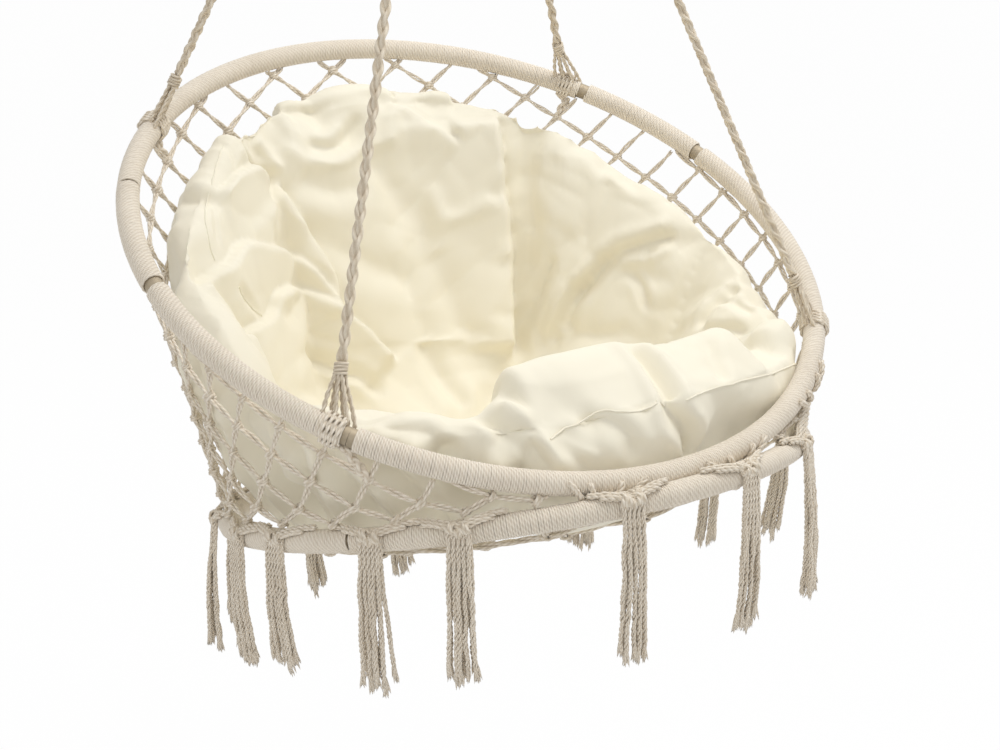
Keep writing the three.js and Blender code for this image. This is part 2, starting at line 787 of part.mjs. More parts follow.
function hookGate() {
  const topCentreZ = hookTopZ - hookTopRadius;
  const nose = new THREE.Vector3(0, hookTopRadius, topCentreZ - noseLength);
  const run = nose.clone().sub(gatePivot);
  const length = run.length() - gateNoseGap;
  const line = run.clone().normalize();
  const foot = gatePivot.clone().addScaledVector(line, -gateEarRadius);
  const top = gatePivot.clone().addScaledVector(line, length);
  let gate = rodSolid(foot, top, gateDiameter / 2, hookSides);
  const slotHeight = gateEarRadius + gateSlotDepth + cutOverrun;
  const slotZ = gatePivot.z + gateSlotDepth - slotHeight / 2;
  gate = gate.subtract(boxSolid(tongueThickness + 2 * seatGap, gateDiameter + cutOverrun, slotHeight,
    0, gatePivot.y, slotZ));
  gate = gate.subtract(crossBore(gatePinDiameter + 2 * gatePinClearance, gateDiameter + cutOverrun));
  return meshOf('hook_gate', gate, zinc);
}

function gatePin() {
  return meshOf('gate_pin', crossBore(gatePinDiameter, gateDiameter), zinc);
}

function hangingRing() {
  const ring = new THREE.TorusGeometry(ringRadius, ringWire / 2, tubeSides, ringFacets);
  return meshOf('hanging_ring', toSolid(ring.rotateX(Math.PI / 2).translate(0, 0, ringZ)), zinc);
}

// A doubled rope hung over the ring, both legs running down inside the neck's whipping
function ropeLoop(name, x) {
  const leg = loopLegSpacing / 2;
  const bendZ = ringFootZ - loopHang;
  const bend = [];
  for (let i = 0; i <= 6; i += 1) {
    const a = (i / 6) * Math.PI;
    bend.push(new THREE.Vector3(x, loopBendRadius * Math.cos(a), bendZ + loopBendRadius * Math.sin(a)));
  }
  const foot = neckFootZ + loopEndInset;
  const points = [
    new THREE.Vector3(x, leg, foot),
    new THREE.Vector3(x, leg, neckTopZ - loopEndInset),
    ...bend,
    new THREE.Vector3(x, -leg, neckTopZ - loopEndInset),
    new THREE.Vector3(x, -leg, foot),
  ];
  const path = new THREE.CatmullRomCurve3(points, false, 'centripetal');
  const rope = new THREE.ExtrudeGeometry(circleShape(ropeDiameter / 2, loopSides), {
    steps: loopSteps, extrudePath: path, bevelEnabled: false,
  });
  return meshOf(`rope_loop_${name}`, toSolid(rope), cotton);
}

function neckWhipping() {
  const outer = neckInnerRadius + neckWall;
  const profile = [
    new THREE.Vector2(neckInnerRadius, neckFootZ),
    new THREE.Vector2(outer, neckFootZ),
    new THREE.Vector2(outer, neckTopZ),
    new THREE.Vector2(neckInnerRadius, neckTopZ),
    new THREE.Vector2(neckInnerRadius, neckFootZ),
  ];
  const sleeve = new THREE.LatheGeometry(profile, neckSides).rotateX(Math.PI / 2);
  return meshOf('neck_whipping', toSolid(sleeve), cotton);
}

// The room that each hoop needs, with its winding and a small gap
function keepOutSolid(radius, facets, tilt, centre) {
  const ring = toGeometry(ringSolid(radius, windingRadius + seatGap, windingSides, facets));
  return toSolid(ring.rotateX(tilt).translate(centre.x, centre.y, centre.z));
}

const upperKeepOut = keepOutSolid(upperRadius, upperFacets, upperTilt, new THREE.Vector3());
const seatKeepOut = keepOutSolid(seatRadius, seatFacets, seatTilt, seatCentre);

const upperHoop = hoopGroup('upper_hoop', upperRadius, upperFacets, upperJointTurns, upperWindings);
upperHoop.rotation.x = upperTilt;

const seatHoop = hoopGroup('seat_hoop', seatRadius, seatFacets, seatJointTurns, seatWindings);
seatHoop.rotation.x = seatTilt;
seatHoop.position.copy(seatCentre);

const chair = new THREE.Group();
chair.position.copy(hoopCentre);
chair.add(upperHoop, seatHoop, cushion(), seatNet(), ...sideNetPanels(), ...tasselTurnShares.map(tassel));
chair.add(...suspension('front_right', frontRopeTurn), ...suspension('front_left', -frontRopeTurn));
chair.add(...suspension('back_right', backRopeTurn), ...suspension('back_left', -backRopeTurn));

const hammockChair = new THREE.Group();
hammockChair.add(snapHook(), hookGate(), gatePin(), hangingRing());
hammockChair.add(ropeLoop('left', -loopSpacing / 2), ropeLoop('right', loopSpacing / 2), neckWhipping());
hammockChair.add(chair);

export default hammockChair;
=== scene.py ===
# %% [markdown]
# # A hammock chair in knotted cotton
# The chair hangs from a snap hook. A ring and two doubled loops carry four ropes, the ropes carry a
# steel hoop wound with cord, and a net hangs from that hoop to a smaller one, which bears the seat
# net, the tassels and the cushion. Nearly all of the chair is one material, cord, laid, wound and
# knotted in different ways, so one small tree of Geometry Nodes that lays cords along lines does most
# of the work.

# %% Load the plain chair
import math
import random
from functools import partial

import bpy
import bmesh
import numpy as np
from mathutils import Matrix, Vector, noise
from mathutils.bvhtree import BVHTree


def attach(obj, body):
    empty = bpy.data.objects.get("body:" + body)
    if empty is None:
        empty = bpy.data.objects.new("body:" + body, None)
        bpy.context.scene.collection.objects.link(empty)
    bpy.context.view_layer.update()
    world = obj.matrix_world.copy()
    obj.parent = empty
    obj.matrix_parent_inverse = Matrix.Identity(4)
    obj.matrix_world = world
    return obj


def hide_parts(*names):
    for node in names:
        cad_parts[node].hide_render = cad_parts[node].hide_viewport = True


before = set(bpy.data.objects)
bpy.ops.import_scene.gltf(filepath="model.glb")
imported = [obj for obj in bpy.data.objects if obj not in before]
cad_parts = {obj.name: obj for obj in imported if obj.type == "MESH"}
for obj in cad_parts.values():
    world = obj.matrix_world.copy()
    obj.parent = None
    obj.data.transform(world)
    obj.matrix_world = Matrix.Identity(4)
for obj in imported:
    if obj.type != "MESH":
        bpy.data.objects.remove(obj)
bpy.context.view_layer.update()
print("plain nodes:", len(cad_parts))

# %% [markdown]
# ## Where everything is
# The plain chair was drawn from a few sizes, and the finer pieces need the same ones: the two hoops,
# their tilts and the point where the ropes meet. They are repeated here in millimetres, as a maker
# would write them, and one function turns them into Blender's metres.

# %% Sizes of the hoops and places on them
MM = 0.001
TUBE, CORD = 19, 3
COIL = TUBE / 2 + CORD  # the radius of a wound hoop's tube
UPPER, UPPER_TILT = 400 - COIL, math.radians(28.25)
SEAT, SEAT_TILT = 335 - COIL, math.radians(-12.8)
TOUCH, TOUCH_LEAN = 2 * COIL + 0.5, math.radians(26.9)  # from hoop to hoop where they touch in front
CENTRE = Vector((0, -10, -912.7))


def turned(x, y, z, tilt):
    """A point turned about the X axis."""
    return Vector((x, y * math.cos(tilt) - z * math.sin(tilt), y * math.sin(tilt) + z * math.cos(tilt)))


SEAT_CENTRE = Vector((
    0,
    -UPPER * math.cos(UPPER_TILT) - TOUCH * math.cos(TOUCH_LEAN) + SEAT * math.cos(SEAT_TILT),
    -UPPER * math.sin(UPPER_TILT) - TOUCH * math.sin(TOUCH_LEAN) + SEAT * math.sin(SEAT_TILT),
))


def upper_point(turn, radius=UPPER, lift=0):
    """A place on the upper hoop; the turn runs clockwise from the back, seen from above."""
    return CENTRE + turned(radius * math.sin(turn), radius * math.cos(turn), lift, UPPER_TILT)


def seat_point(turn, radius=SEAT, below=0):
    """The same for the seat hoop."""
    local = turned(radius * math.sin(turn), radius * math.cos(turn), -below, SEAT_TILT)
    return CENTRE + SEAT_CENTRE + local


print("seat hoop's centre, mm:", [round(v, 1) for v in CENTRE + SEAT_CENTRE])

# %% [markdown]
# ## The camera
# A photograph of a chair this size is taken from about two metres with a short telephoto. The camera
# looks slightly down at the middle of the upper hoop, from the front and a little to the left.

# %% Camera
VIEW_SIDE = Vector((0.8348, -0.5498, -0.0278))
VIEW_UP = Vector((0.1748, 0.2170, 0.9604))
VIEW_BACK = Vector((-0.5220, -0.8066, 0.2773))
EYE_FROM_CENTRE = Vector((-0.9688, -1.5247, 0.3585))
LENS, FARTHEST_SEEN = 59.25, 50


def into_scene(name, data):
    """A new object in the scene for a mesh, a lamp or a camera."""
    made = bpy.data.objects.new(name, data)
    bpy.context.scene.collection.objects.link(made)
    return made


camera = into_scene("camera", bpy.data.cameras.new("camera"))
camera.data.sensor_width = 36
camera.data.lens = LENS
camera.data.clip_end = FARTHEST_SEEN
camera.matrix_world = Matrix.Translation(CENTRE * MM + EYE_FROM_CENTRE) @ Matrix(
    (VIEW_SIDE, VIEW_UP, VIEW_BACK)).transposed().to_4x4()
bpy.context.scene.camera = camera
print("camera at", [round(v, 2) for v in camera.location])

# %% [markdown]
# ## Writing node trees in few words
# A Geometry Nodes tree is a list of nodes and links. Written out node by node it is long, so this
# small class adds a node and sets or links its inputs in one call, and lets sums be written as sums.

# %% A short hand for node trees
class Sum:
    """A socket that can be added, multiplied and so on."""

    def __init__(self, tree, socket):
        self.tree, self.socket = tree, socket

    def _with(self, kind, first, second):
        return self.tree.sum(kind, first, second)

    def __add__(self, other): return self._with("ADD", self, other)
    def __sub__(self, other): return self._with("SUBTRACT", self, other)
    def __rsub__(self, other): return self._with("SUBTRACT", other, self)
    def __mul__(self, other): return self._with("MULTIPLY", self, other)
    def __truediv__(self, other): return self._with("DIVIDE", self, other)


class Tree:
    """A node tree under construction."""

    def __init__(self, tree):
        self.tree = tree

    def node(self, kind, settings=None, **inputs):
        """Adds a node; a name such as Curve_Length sets the input called Curve Length."""
        node = self.tree.nodes.new(kind)
        for name, value in (settings or {}).items():
            setattr(node, name, value)
        for name, value in inputs.items():
            label = name.replace("_", " ")
            index = int(label[1:]) if label[0] == "i" and label[1:].isdigit() else None
            socket = node.inputs[index] if index is not None else next(
                s for s in node.inputs if s.enabled and s.name == label)
            self.put(socket, value)
        return node

    def put(self, socket, value):
        """Sets an input, or links it if the value is an output."""
        if isinstance(value, Sum):
            value = value.socket
        if isinstance(value, bpy.types.NodeSocket):
            self.tree.links.new(value, socket)
        else:
            socket.default_value = value

    def out(self, node, name=None):
        """One output of a node, ready for sums."""
        found = [s for s in node.outputs if s.enabled and (name is None or s.name == name)]
        return Sum(self, found[0])

    def get(self, kind, settings=None, output=None, **inputs):
        """Adds a node and gives its output."""
        return self.out(self.node(kind, settings, **inputs), output)

    def sum(self, kind, first, second=None):
        """One step of arithmetic; kind is the Math node's operation."""
        node = self.tree.nodes.new("ShaderNodeMath")
        node.operation = kind
        self.put(node.inputs[0], first)
        if second is not None:
            self.put(node.inputs[1], second)
        return Sum(self, node.outputs[0])

    def vector(self, kind, first, second=None, scale=None):
        """The same for vectors."""
        node = self.tree.nodes.new("ShaderNodeVectorMath")
        node.operation = kind
        self.put(node.inputs[0], first)
        if second is not None:
            self.put(node.inputs[1], second)
        if scale is not None:
            self.put(node.inputs["Scale"], scale)
        return Sum(self, node.outputs["Vector"])


SOCKETS = {float: "NodeSocketFloat", int: "NodeSocketInt", "material": "NodeSocketMaterial",
           "object": "NodeSocketObject"}


def growing_tree(name, **sizes):
    """An empty Geometry Nodes tree with a named input for each size, and a Geometry output."""
    group = bpy.data.node_groups.new(name, "GeometryNodeTree")
    face = group.interface
    face.new_socket("Geometry", in_out="INPUT", socket_type="NodeSocketGeometry")
    face.new_socket("Geometry", in_out="OUTPUT", socket_type="NodeSocketGeometry")
    for label, value in sizes.items():
        kind = value if isinstance(value, str) else type(value)
        socket = face.new_socket(label.replace("_", " "), in_out="INPUT", socket_type=SOCKETS[kind])
        if not isinstance(value, str):
            socket.default_value = value
    tree = Tree(group)
    tree.start = group.nodes.new("NodeGroupInput")
    tree.size = lambda label: Sum(tree, tree.start.outputs[label])
    return tree


def close_tree(tree, geometry):
    """Ends a tree in Realize Instances and Set Material, as the export needs."""
    real = tree.get("GeometryNodeRealizeInstances", Geometry=geometry)
    done = tree.get("GeometryNodeSetMaterial", Geometry=real, Material=tree.size("Material"))
    end = tree.tree.nodes.new("NodeGroupOutput")
    tree.put(end.inputs[0], done)
    return tree.tree


def grow(name, source, group, **sizes):
    """Runs a tree on a source object and keeps the result as a plain mesh of its own."""
    modifier = source.modifiers.new("grow", "NODES")
    modifier.node_group = group
    for item in group.interface.items_tree:
        if item.in_out == "INPUT" and item.name.replace(" ", "_") in sizes:
            modifier[item.identifier] = sizes[item.name.replace(" ", "_")]
    grown = source.evaluated_get(bpy.context.evaluated_depsgraph_get())
    mesh = bpy.data.meshes.new_from_object(grown, preserve_all_data_layers=True,
                                           depsgraph=bpy.context.evaluated_depsgraph_get())
    source.modifiers.remove(modifier)
    mesh.name = name
    for slot in range(len(mesh.materials) - 1, -1, -1):
        if mesh.materials[slot] is None:
            mesh.materials.pop(index=slot)
    piece = into_scene(name, mesh)
    bpy.data.objects.remove(source)
    print(f"{name}: {len(mesh.polygons)} faces")
    return piece


def smooth_line(points, per_span):
    """A Catmull-Rom curve through the points."""
    line = []
    for i in range(len(points) - 1):
        a, b, c, d = (points[min(max(k, 0), len(points) - 1)] for k in (i - 1, i, i + 1, i + 2))
        for j in range(per_span):
            t = j / per_span
            line.append(0.5 * ((2 * b) + (c - a) * t + (2 * a - 5 * b + 4 * c - d) * t ** 2
                               + (3 * b - a - 3 * c + d) * t ** 3))
    return line + [points[-1]]


def lines_object(name, lines, closed=False):
    """An object of bare edges, one chain for each line of points in millimetres."""
    points, edges = [], []
    for line in lines:
        first = len(points)
        points += [Vector(p) * MM for p in line]
        edges += [(i, i + 1) for i in range(first, len(points) - 1)]
        if closed:
            edges.append((len(points) - 1, first))
    mesh = bpy.data.meshes.new(name)
    mesh.from_pydata(points, edges, [])
    return into_scene(name, mesh)


# %% [markdown]
# ## Cotton cord
# A macrame cord is a few hundred fibres twisted into plies, so it isn't smooth: fine grooves wind
# round it, and loose fibres make its edge soft. The twist is drawn on the cord's own UV map, which
# runs round it and along it, so the grooves follow every bend. Bump and a little sheen shape it. Its
# colour is painted darker in the grooves, as painted shade between the plies, with random patches
# of lighter and darker tone. The same recipe serves the ropes, the winding, the net and the tassels,
# each in its own colours.

# %% Cord material
def new_material(name):
    """A material with an empty tree but for its shader, and a short hand to fill it."""
    material = bpy.data.materials.new(name)
    material.use_nodes = True
    tree = Tree(material.node_tree)
    tree.shader = material.node_tree.nodes["Principled BSDF"]
    return material, tree


def cord_material(name, light, groove_shade_and_dark_tone, twists, depth=0.35):
    """Cotton cord: twists is how many grooves wind across one square of the UV map."""
    material, tree = new_material(name)
    place = tree.get("ShaderNodeTexCoord", output="UV")
    parts = tree.node("ShaderNodeSeparateXYZ", i0=place)
    around, along = tree.out(parts, "X"), tree.out(parts, "Y")
    groove = tree.sum("SINE", (around * 2 + along * twists) * math.tau)
    spot = tree.get("ShaderNodeTexCoord", output="Object")
    fibre = tree.get("ShaderNodeTexNoise", output="Fac", Vector=spot, Scale=900.0, Detail=2.0)
    patch = tree.get("ShaderNodeTexNoise", output="Fac", Vector=spot, Scale=22.0, Detail=3.0)
    height = groove * 0.5 + 0.5 + (fibre - 0.5) * 1.2
    # painted shade: the colour runs to the darker one where the groove height is low, in the grooves between
    # plies; the patch noise adds random tone
    groove_shade_and_tone = height * 0.55 + patch * 0.55 - 0.05
    ramp = tree.node("ShaderNodeMix", {"data_type": "RGBA", "clamp_factor": True})
    tree.put(ramp.inputs[0], groove_shade_and_tone)
    tree.put(ramp.inputs[6], (*groove_shade_and_dark_tone, 1))
    tree.put(ramp.inputs[7], (*light, 1))
    bump = tree.node("ShaderNodeBump", Height=height, Strength=depth, Distance=0.0006)
    tree.put(tree.shader.inputs["Base Color"], ramp.outputs[2])
    tree.put(tree.shader.inputs["Normal"], bump.outputs[0])
    tree.shader.inputs["Roughness"].default_value = 0.9
    tree.shader.inputs["Specular IOR Level"].default_value = 0.2
    tree.shader.inputs["Sheen Weight"].default_value = 0.25
    tree.shader.inputs["Sheen Roughness"].default_value = 0.5
    return material


def shade(*channels):
    """A colour read as 0 to 255 in sRGB, in the linear light that Blender works in."""
    parts = [v / 255 for v in channels]
    return tuple(v / 12.92 if v <= 0.04045 else ((v + 0.055) / 1.055) ** 2.4 for v in parts)


# the second colour is painted shade in the rope's grooves, and its darker random tone
rope_cotton = cord_material("rope cotton", shade(236, 226, 208), shade(196, 180, 156), 60)
print("material:", rope_cotton.name)

# %% [markdown]
# ## Laying cords along a line
# A rope is a few strands that wind round one line, a winding is one cord round a hoop, and a net leg
# is two cords round each other. All are the same rule: walk along the line, step out by the lay
# radius, and turn once in each pitch. The tree below does it for any number of strands, sweeps a
# round profile along each, narrows the ends, and writes a UV map that runs round and along the cord.
# A plait follows nearly the same rule: while a strand goes once from side to side, it goes twice from
# front to back, so that it passes over one neighbour and under the other. Crossings sets that.

# %% The tree that lays strands
def strand_tree():
    tree = growing_tree("lay strands", Strands=3, Lay_radius=0.003, Pitch=0.04, Step=0.003,
                        Cord_radius=0.002, End_taper=0.003, Wander=0.0, Wander_size=20.0,
                        Crossings=1.0, Depth=1.0, Sides=8, Seed=0, Material="material")
    size = tree.size
    line = tree.get("GeometryNodeMeshToCurve", Mesh=size("Geometry"))
    line = tree.get("GeometryNodeResampleCurve", {"mode": "LENGTH"}, Curve=line, Length=size("Step"))
    copies = tree.node("GeometryNodeDuplicateElements", {"domain": "SPLINE"}, Geometry=line,
                       Amount=size("Strands"))
    line = tree.out(copies, "Geometry")
    walk = tree.node("GeometryNodeSplineParameter")
    along = tree.out(walk, "Length")
    angle = (along / size("Pitch") + tree.out(copies, "Duplicate Index") / size("Strands")) * math.tau
    side = tree.get("GeometryNodeInputNormal", output="Normal")
    ahead = tree.get("GeometryNodeInputTangent")
    across = tree.vector("CROSS_PRODUCT", ahead, side)
    radius = size("Lay radius")
    deep = radius * size("Depth") * tree.sum("SINE", angle * size("Crossings"))
    outward = tree.vector(
        "ADD",
        tree.vector("SCALE", side, scale=radius * tree.sum("COSINE", angle)),
        tree.vector("SCALE", across, scale=deep))
    spot = tree.get("GeometryNodeInputPosition")
    ids = tree.out(copies, "Duplicate Index") + size("Seed")
    clouds = tree.node("ShaderNodeTexNoise", {"noise_dimensions": "4D"}, Vector=spot, W=ids,
                       Scale=size("Wander size"), Detail=1.0)
    drift = tree.vector("SUBTRACT", tree.out(clouds, "Color"), (0.5, 0.5, 0.5))
    outward = tree.vector("ADD", outward, tree.vector("SCALE", drift, scale=size("Wander") * 2))
    line = tree.get("GeometryNodeSetPosition", Geometry=line, Offset=outward)
    kept = tree.node("GeometryNodeCaptureAttribute", {"domain": "POINT"})
    kept.capture_items.new("FLOAT", "along")
    kept.capture_items.new("FLOAT", "from end")
    tree.put(kept.inputs[0], line)
    tree.put(kept.inputs[1], along)
    whole = tree.get("GeometryNodeSplineLength", output="Length")
    tree.put(kept.inputs[2], tree.sum("MINIMUM", along, whole - along))
    line = tree.out(kept, "Geometry")
    near = tree.sum("MINIMUM", tree.out(kept, "from end") / size("End taper"), 1.0)
    thin = tree.sum("SQRT", 1 - (1 - near) * (1 - near))
    turn = tree.get("GeometryNodeCurveArc", output="Curve", Resolution=size("Sides") + 1,
                    Radius=size("Cord radius"), Start_Angle=0.0, Sweep_Angle=math.tau)
    seen = tree.node("GeometryNodeCaptureAttribute", {"domain": "POINT"})
    seen.capture_items.new("FLOAT", "around")
    tree.put(seen.inputs[0], turn)
    tree.put(seen.inputs[1], tree.get("GeometryNodeSplineParameter", output="Factor"))
    skin = tree.get("GeometryNodeCurveToMesh", Curve=line, Profile_Curve=tree.out(seen, "Geometry"),
                    Scale=tree.sum("MAXIMUM", thin, 0.0001))
    chart = tree.get("ShaderNodeCombineXYZ", X=tree.out(seen, "around"), Y=tree.out(kept, "along"))
    skin = tree.get("GeometryNodeStoreNamedAttribute", {"data_type": "FLOAT2", "domain": "CORNER"},
                    Geometry=skin, Name="UVMap", Value=chart)
    skin = tree.get("GeometryNodeMergeByDistance", Geometry=skin, Distance=1e-5)
    skin = tree.get("GeometryNodeSetShadeSmooth", Geometry=skin)
    return close_tree(tree, skin)


lay_strands = strand_tree()

# %% [markdown]
# ## The four ropes
# Each rope is three strands plaited together, 11 mm thick, pulled straight by the chair's weight. It
# leaves the whipping above the upper hoop and goes up into the neck, where all four are bound. The
# last few millimetres of its strands are hidden inside the neck.

# %% Ropes
NECK_FOOT = -155.7
ROPE, ROPE_FROM_AXIS = 11, 9.2  # its width, and where it meets the neck
WHIPPING_FOOT, WHIPPING, CLEAR = 50, 13, 0.3  # up the rope from the hoop's centreline
TUCKED = 7  # how far the strands run on into the neck
PLAIT = dict(Strands=3, Lay_radius=0.0031, Pitch=0.06, Step=0.003, Cord_radius=0.0024, End_taper=0.001,
             Crossings=2.0, Depth=0.85, Wander=0.0004, Wander_size=45.0, Sides=10, Material=rope_cotton)
ROPE_TURNS = {"front_right": 128, "front_left": -128, "back_right": 46.8, "back_left": -46.8}


def rope_line(turn_degrees):
    """A rope's grip on the hoop, its direction, its foot above the whipping and its top at the neck."""
    grip = upper_point(math.radians(turn_degrees))
    neck = Vector((0, 0, NECK_FOOT))
    outward = Vector((grip.x, grip.y, 0)).normalized()
    top = neck + outward * ROPE_FROM_AXIS
    lean = math.sqrt(1 - (top - grip).normalized().z ** 2)
    top.z -= CLEAR + ROPE / 2 * lean
    line = (top - grip).normalized()
    return grip, line, grip + line * (WHIPPING_FOOT + WHIPPING + CLEAR), top


for name, turn in ROPE_TURNS.items():
    grip, line, foot, top = rope_line(turn)
    route = [foot.lerp(top, i / 30) for i in range(31)]
    strand_line = [*route, top + line * TUCKED]
    rope = grow(f"plaited_rope_{name}", lines_object("rope line", [strand_line]), lay_strands, **PLAIT)
    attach(rope, "chair")
    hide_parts(f"rope_{name}")
    foot * MM
    (top - foot).length * MM
    [p * MM for p in route]
    print(name, "rope, mm:", round((top - foot).length))

# %% [markdown]
# ## The winding on the hoops
# A thin cord is wound tightly round each steel tube, turn against turn, and stops in a few places
# where a finger's width of steel shows. Several hundred turns could be rings set side by side, but a
# real winding is one cord that climbs along the tube, and its turns are never quite even. The strand
# tree does that with one strand, a short pitch and a little wander.

# %% Winding
# the second colour is painted shade in the winding's grooves, and its darker random tone
winding_cotton = cord_material("winding cotton", shade(246, 238, 224), shade(217, 205, 187), 150,
                               depth=0.1)
BARE, TIE = 9, -1  # steel that shows between two windings, and a winding that runs on into the next
ROUND_END = 2.7
COIL_TURNS = dict(Strands=1, Lay_radius=0.0112, Pitch=0.0024, Step=0.0024 / 12, Cord_radius=0.0013,
                  End_taper=0.002, Wander=0.0003, Wander_size=160.0, Sides=6, Material=winding_cotton)
UPPER_WINDINGS = {
    "back": (-65.5, 50.5, TIE, BARE), "back_right": (50.5, 76.5, BARE, BARE),
    "front": (76.5, 229.5, BARE, BARE), "left": (229.5, 269.5, BARE, BARE),
    "back_left": (269.5, 294.5, BARE, TIE),
}
SEAT_WINDINGS = {"right": (62, 242, TIE, TIE), "left": (242, 422, TIE, TIE)}


def hoop_line(point_of, radius, start, end, start_gap=0, end_gap=0, every=1.0):
    """Points along a hoop between two turns in degrees, less half a gap at each end."""
    a = math.radians(start) + start_gap / 2 / radius
    b = math.radians(end) - end_gap / 2 / radius
    steps = max(2, round(math.degrees(b - a) / every))
    return [point_of(a + (b - a) * i / steps) for i in range(steps + 1)]


def dress(piece, slot, *nodes, body="chair"):
    """Puts a piece on its body and in place of its plain nodes."""
    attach(piece, body)
    if nodes:
        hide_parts(*nodes)
    return piece


for prefix, point_of, radius, windings in (
        ("upper", upper_point, UPPER, UPPER_WINDINGS), ("seat", seat_point, SEAT, SEAT_WINDINGS)):
    for name, (start, end, start_gap, end_gap) in windings.items():
        line = hoop_line(point_of, radius, start, end, start_gap + ROUND_END, end_gap + ROUND_END)
        coil = grow(f"{prefix}_coil_{name}", lines_object("hoop line", [line]), lay_strands, **COIL_TURNS)
        dress(coil, "winding", f"{prefix}_winding_{name}")

# %% [markdown]
# ## The steel under the winding
# The hoops are bent tube with a dull, brushed surface that has yellowed a little. Each hoop is two
# halves pushed over spigots. A round profile swept along the hoop's line gives them; the tree below
# does it with caps on, and is used again for the ring and the hook.

# %% Steel tubes
def metal_material(name, colour, roughness, grain):
    """Metal with a faint grain in its gloss."""
    material, tree = new_material(name)
    spot = tree.get("ShaderNodeTexCoord", output="Object")
    clouds = tree.get("ShaderNodeTexNoise", output="Fac", Vector=spot, Scale=grain, Detail=4.0)
    tree.put(tree.shader.inputs["Roughness"], clouds * 0.25 + (roughness - 0.12))
    tree.shader.inputs["Base Color"].default_value = (*colour, 1)
    tree.shader.inputs["Metallic"].default_value = 1.0
    return material


def tube_tree():
    tree = growing_tree("bend tube", Tube_radius=0.0095, Sides=24, Material="material")
    line = tree.get("GeometryNodeMeshToCurve", Mesh=tree.size("Geometry"))
    ring = tree.get("GeometryNodeCurvePrimitiveCircle", output="Curve", Resolution=tree.size("Sides"),
                    Radius=tree.size("Tube radius"))
    skin = tree.get("GeometryNodeCurveToMesh", Curve=line, Profile_Curve=ring, Fill_Caps=True)
    return close_tree(tree, tree.get("GeometryNodeSetShadeSmooth", Geometry=skin))


bend_tube = tube_tree()
JOINT_GAP, BENT_TUBE = 0.06, 0.00945
tube_steel = metal_material("tube steel", shade(172, 160, 140), 0.66, 300.0)
for prefix, point_of, radius, (first, second) in (
        ("upper", upper_point, UPPER, (50.5, 229.5)), ("seat", seat_point, SEAT, (62, 242))):
    for side, start, end in (("right", first, second), ("left", second, first + 360)):
        line = hoop_line(point_of, radius, start, end, JOINT_GAP, JOINT_GAP, every=2)
        tube = grow(f"{prefix}_bent_tube_{side}", lines_object("tube line", [line]), bend_tube,
                    Tube_radius=BENT_TUBE, Sides=20, Material=tube_steel)
        dress(tube, "tube", f"{prefix}_hoop_tube_{side}")
    for side in ("right", "left"):
        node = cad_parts[f"{prefix}_hoop_spigot_{side}"]
        node.data.materials.clear()
        node.data.materials.append(tube_steel)

# %% [markdown]
# ## The net between the hoops
# The net is macrame: pairs of cords run from knot to knot in a diamond pattern that hangs from the
# upper hoop and is tied to the seat hoop. The knots lie on straight lines from hoop to hoop, in rows
# 31 mm apart, and each row is half a column on from the next. The rows stop where the tilted upper
# hoop cuts them off, low at the front and high at the back. First come the places of the knots and
# the lines between them; then the strand tree twists two cords along each line.

# %% Places of the knots
COLUMNS, ROW, FIRST_ROW = 28, 31, 24
HALF_COLUMN = math.pi / COLUMNS
KNOT_ON_HOOP = 6.4  # how far a knot that sits on the winding stands above it


def direction(point_of, turn, step=0.02):
    """The way in which a row of places runs at a turn."""
    return point_of(turn + step) - point_of(turn - step)


def net_depth(turn):
    """The net's height between the two windings."""
    return (upper_point(turn) - seat_point(turn)).length - 2 * COIL


def net_point(turn, height):
    """A place on the net, a height above the seat hoop's winding."""
    foot = seat_point(turn)
    return foot + (upper_point(turn) - foot).normalized() * (COIL + height)


def net_frame(turn, height):
    """The net's directions at a place: along the hoop, up, and out of its face."""
    up = (upper_point(turn) - seat_point(turn)).normalized()
    along = direction(lambda t: net_point(t, height), turn)
    along = (along - up * along.dot(up)).normalized()
    return along, up, along.cross(up)


def mount_height(turn):
    """The height of a knot that sits on the winding of the seat hoop."""
    up = (upper_point(turn) - seat_point(turn)).normalized()
    tangent = direction(seat_point, turn).normalized()
    return (COIL + KNOT_ON_HOOP) / math.sqrt(1 - up.dot(tangent) ** 2) - COIL


def upper_hoop_distance(point):
    """How far a point is from the upper hoop's centreline."""
    local = point - CENTRE
    local = turned(local.x, local.y, local.z, -UPPER_TILT)
    return math.hypot(math.hypot(local.x, local.y) - UPPER, local.z)


def row_height(column, row):
    """How high a knot sits; row -1 is tied on the seat hoop."""
    return mount_height(column * HALF_COLUMN) if row < 0 else FIRST_ROW + row * ROW


def knot_fits(column, row):
    """Whether there is room for a knot below the upper hoop."""
    turn, height = column * HALF_COLUMN, row_height(column, row)
    return upper_hoop_distance(net_point(turn, height)) > COIL + 1 and height < net_depth(turn)


net_knots = set()
for column in range(2 * COLUMNS):
    for row in range(-1, math.ceil(net_depth(0) / ROW)):
        carried = row >= 0 or knot_fits(column - 1, 0) or knot_fits(column + 1, 0)
        if (column + row + 1) % 2 == 0 and carried and knot_fits(column, row):
            net_knots.add((column, row))
print("knots in the side net:", len(net_knots))


# %% Lines of the net
WORKED_IN, SHORTEST_LEG = 2.3, 9


def last_outside(outside, high):
    """The share of the way, from 0 to high, at which a line stops being outside; found by halving."""
    low = 0
    for _ in range(20):
        middle = (low + high) / 2
        low, high = (middle, high) if outside(middle) else (low, middle)
    return low


def end_on_hoop(column, row, side):
    """Where a pair of cords that leaves a knot upwards goes under the upper winding."""
    start, step = column * HALF_COLUMN, row_height(column, row + 1) - row_height(column, row)

    def on_way(share):
        return net_point(start + side * share * HALF_COLUMN, row_height(column, row) + share * step)

    return on_way(last_outside(lambda share: upper_hoop_distance(on_way(share)) > COIL - WORKED_IN, 0.95))


def jitter(rng, amount):
    """A small random step."""
    return Vector([rng.uniform(-amount, amount) for _ in range(3)])


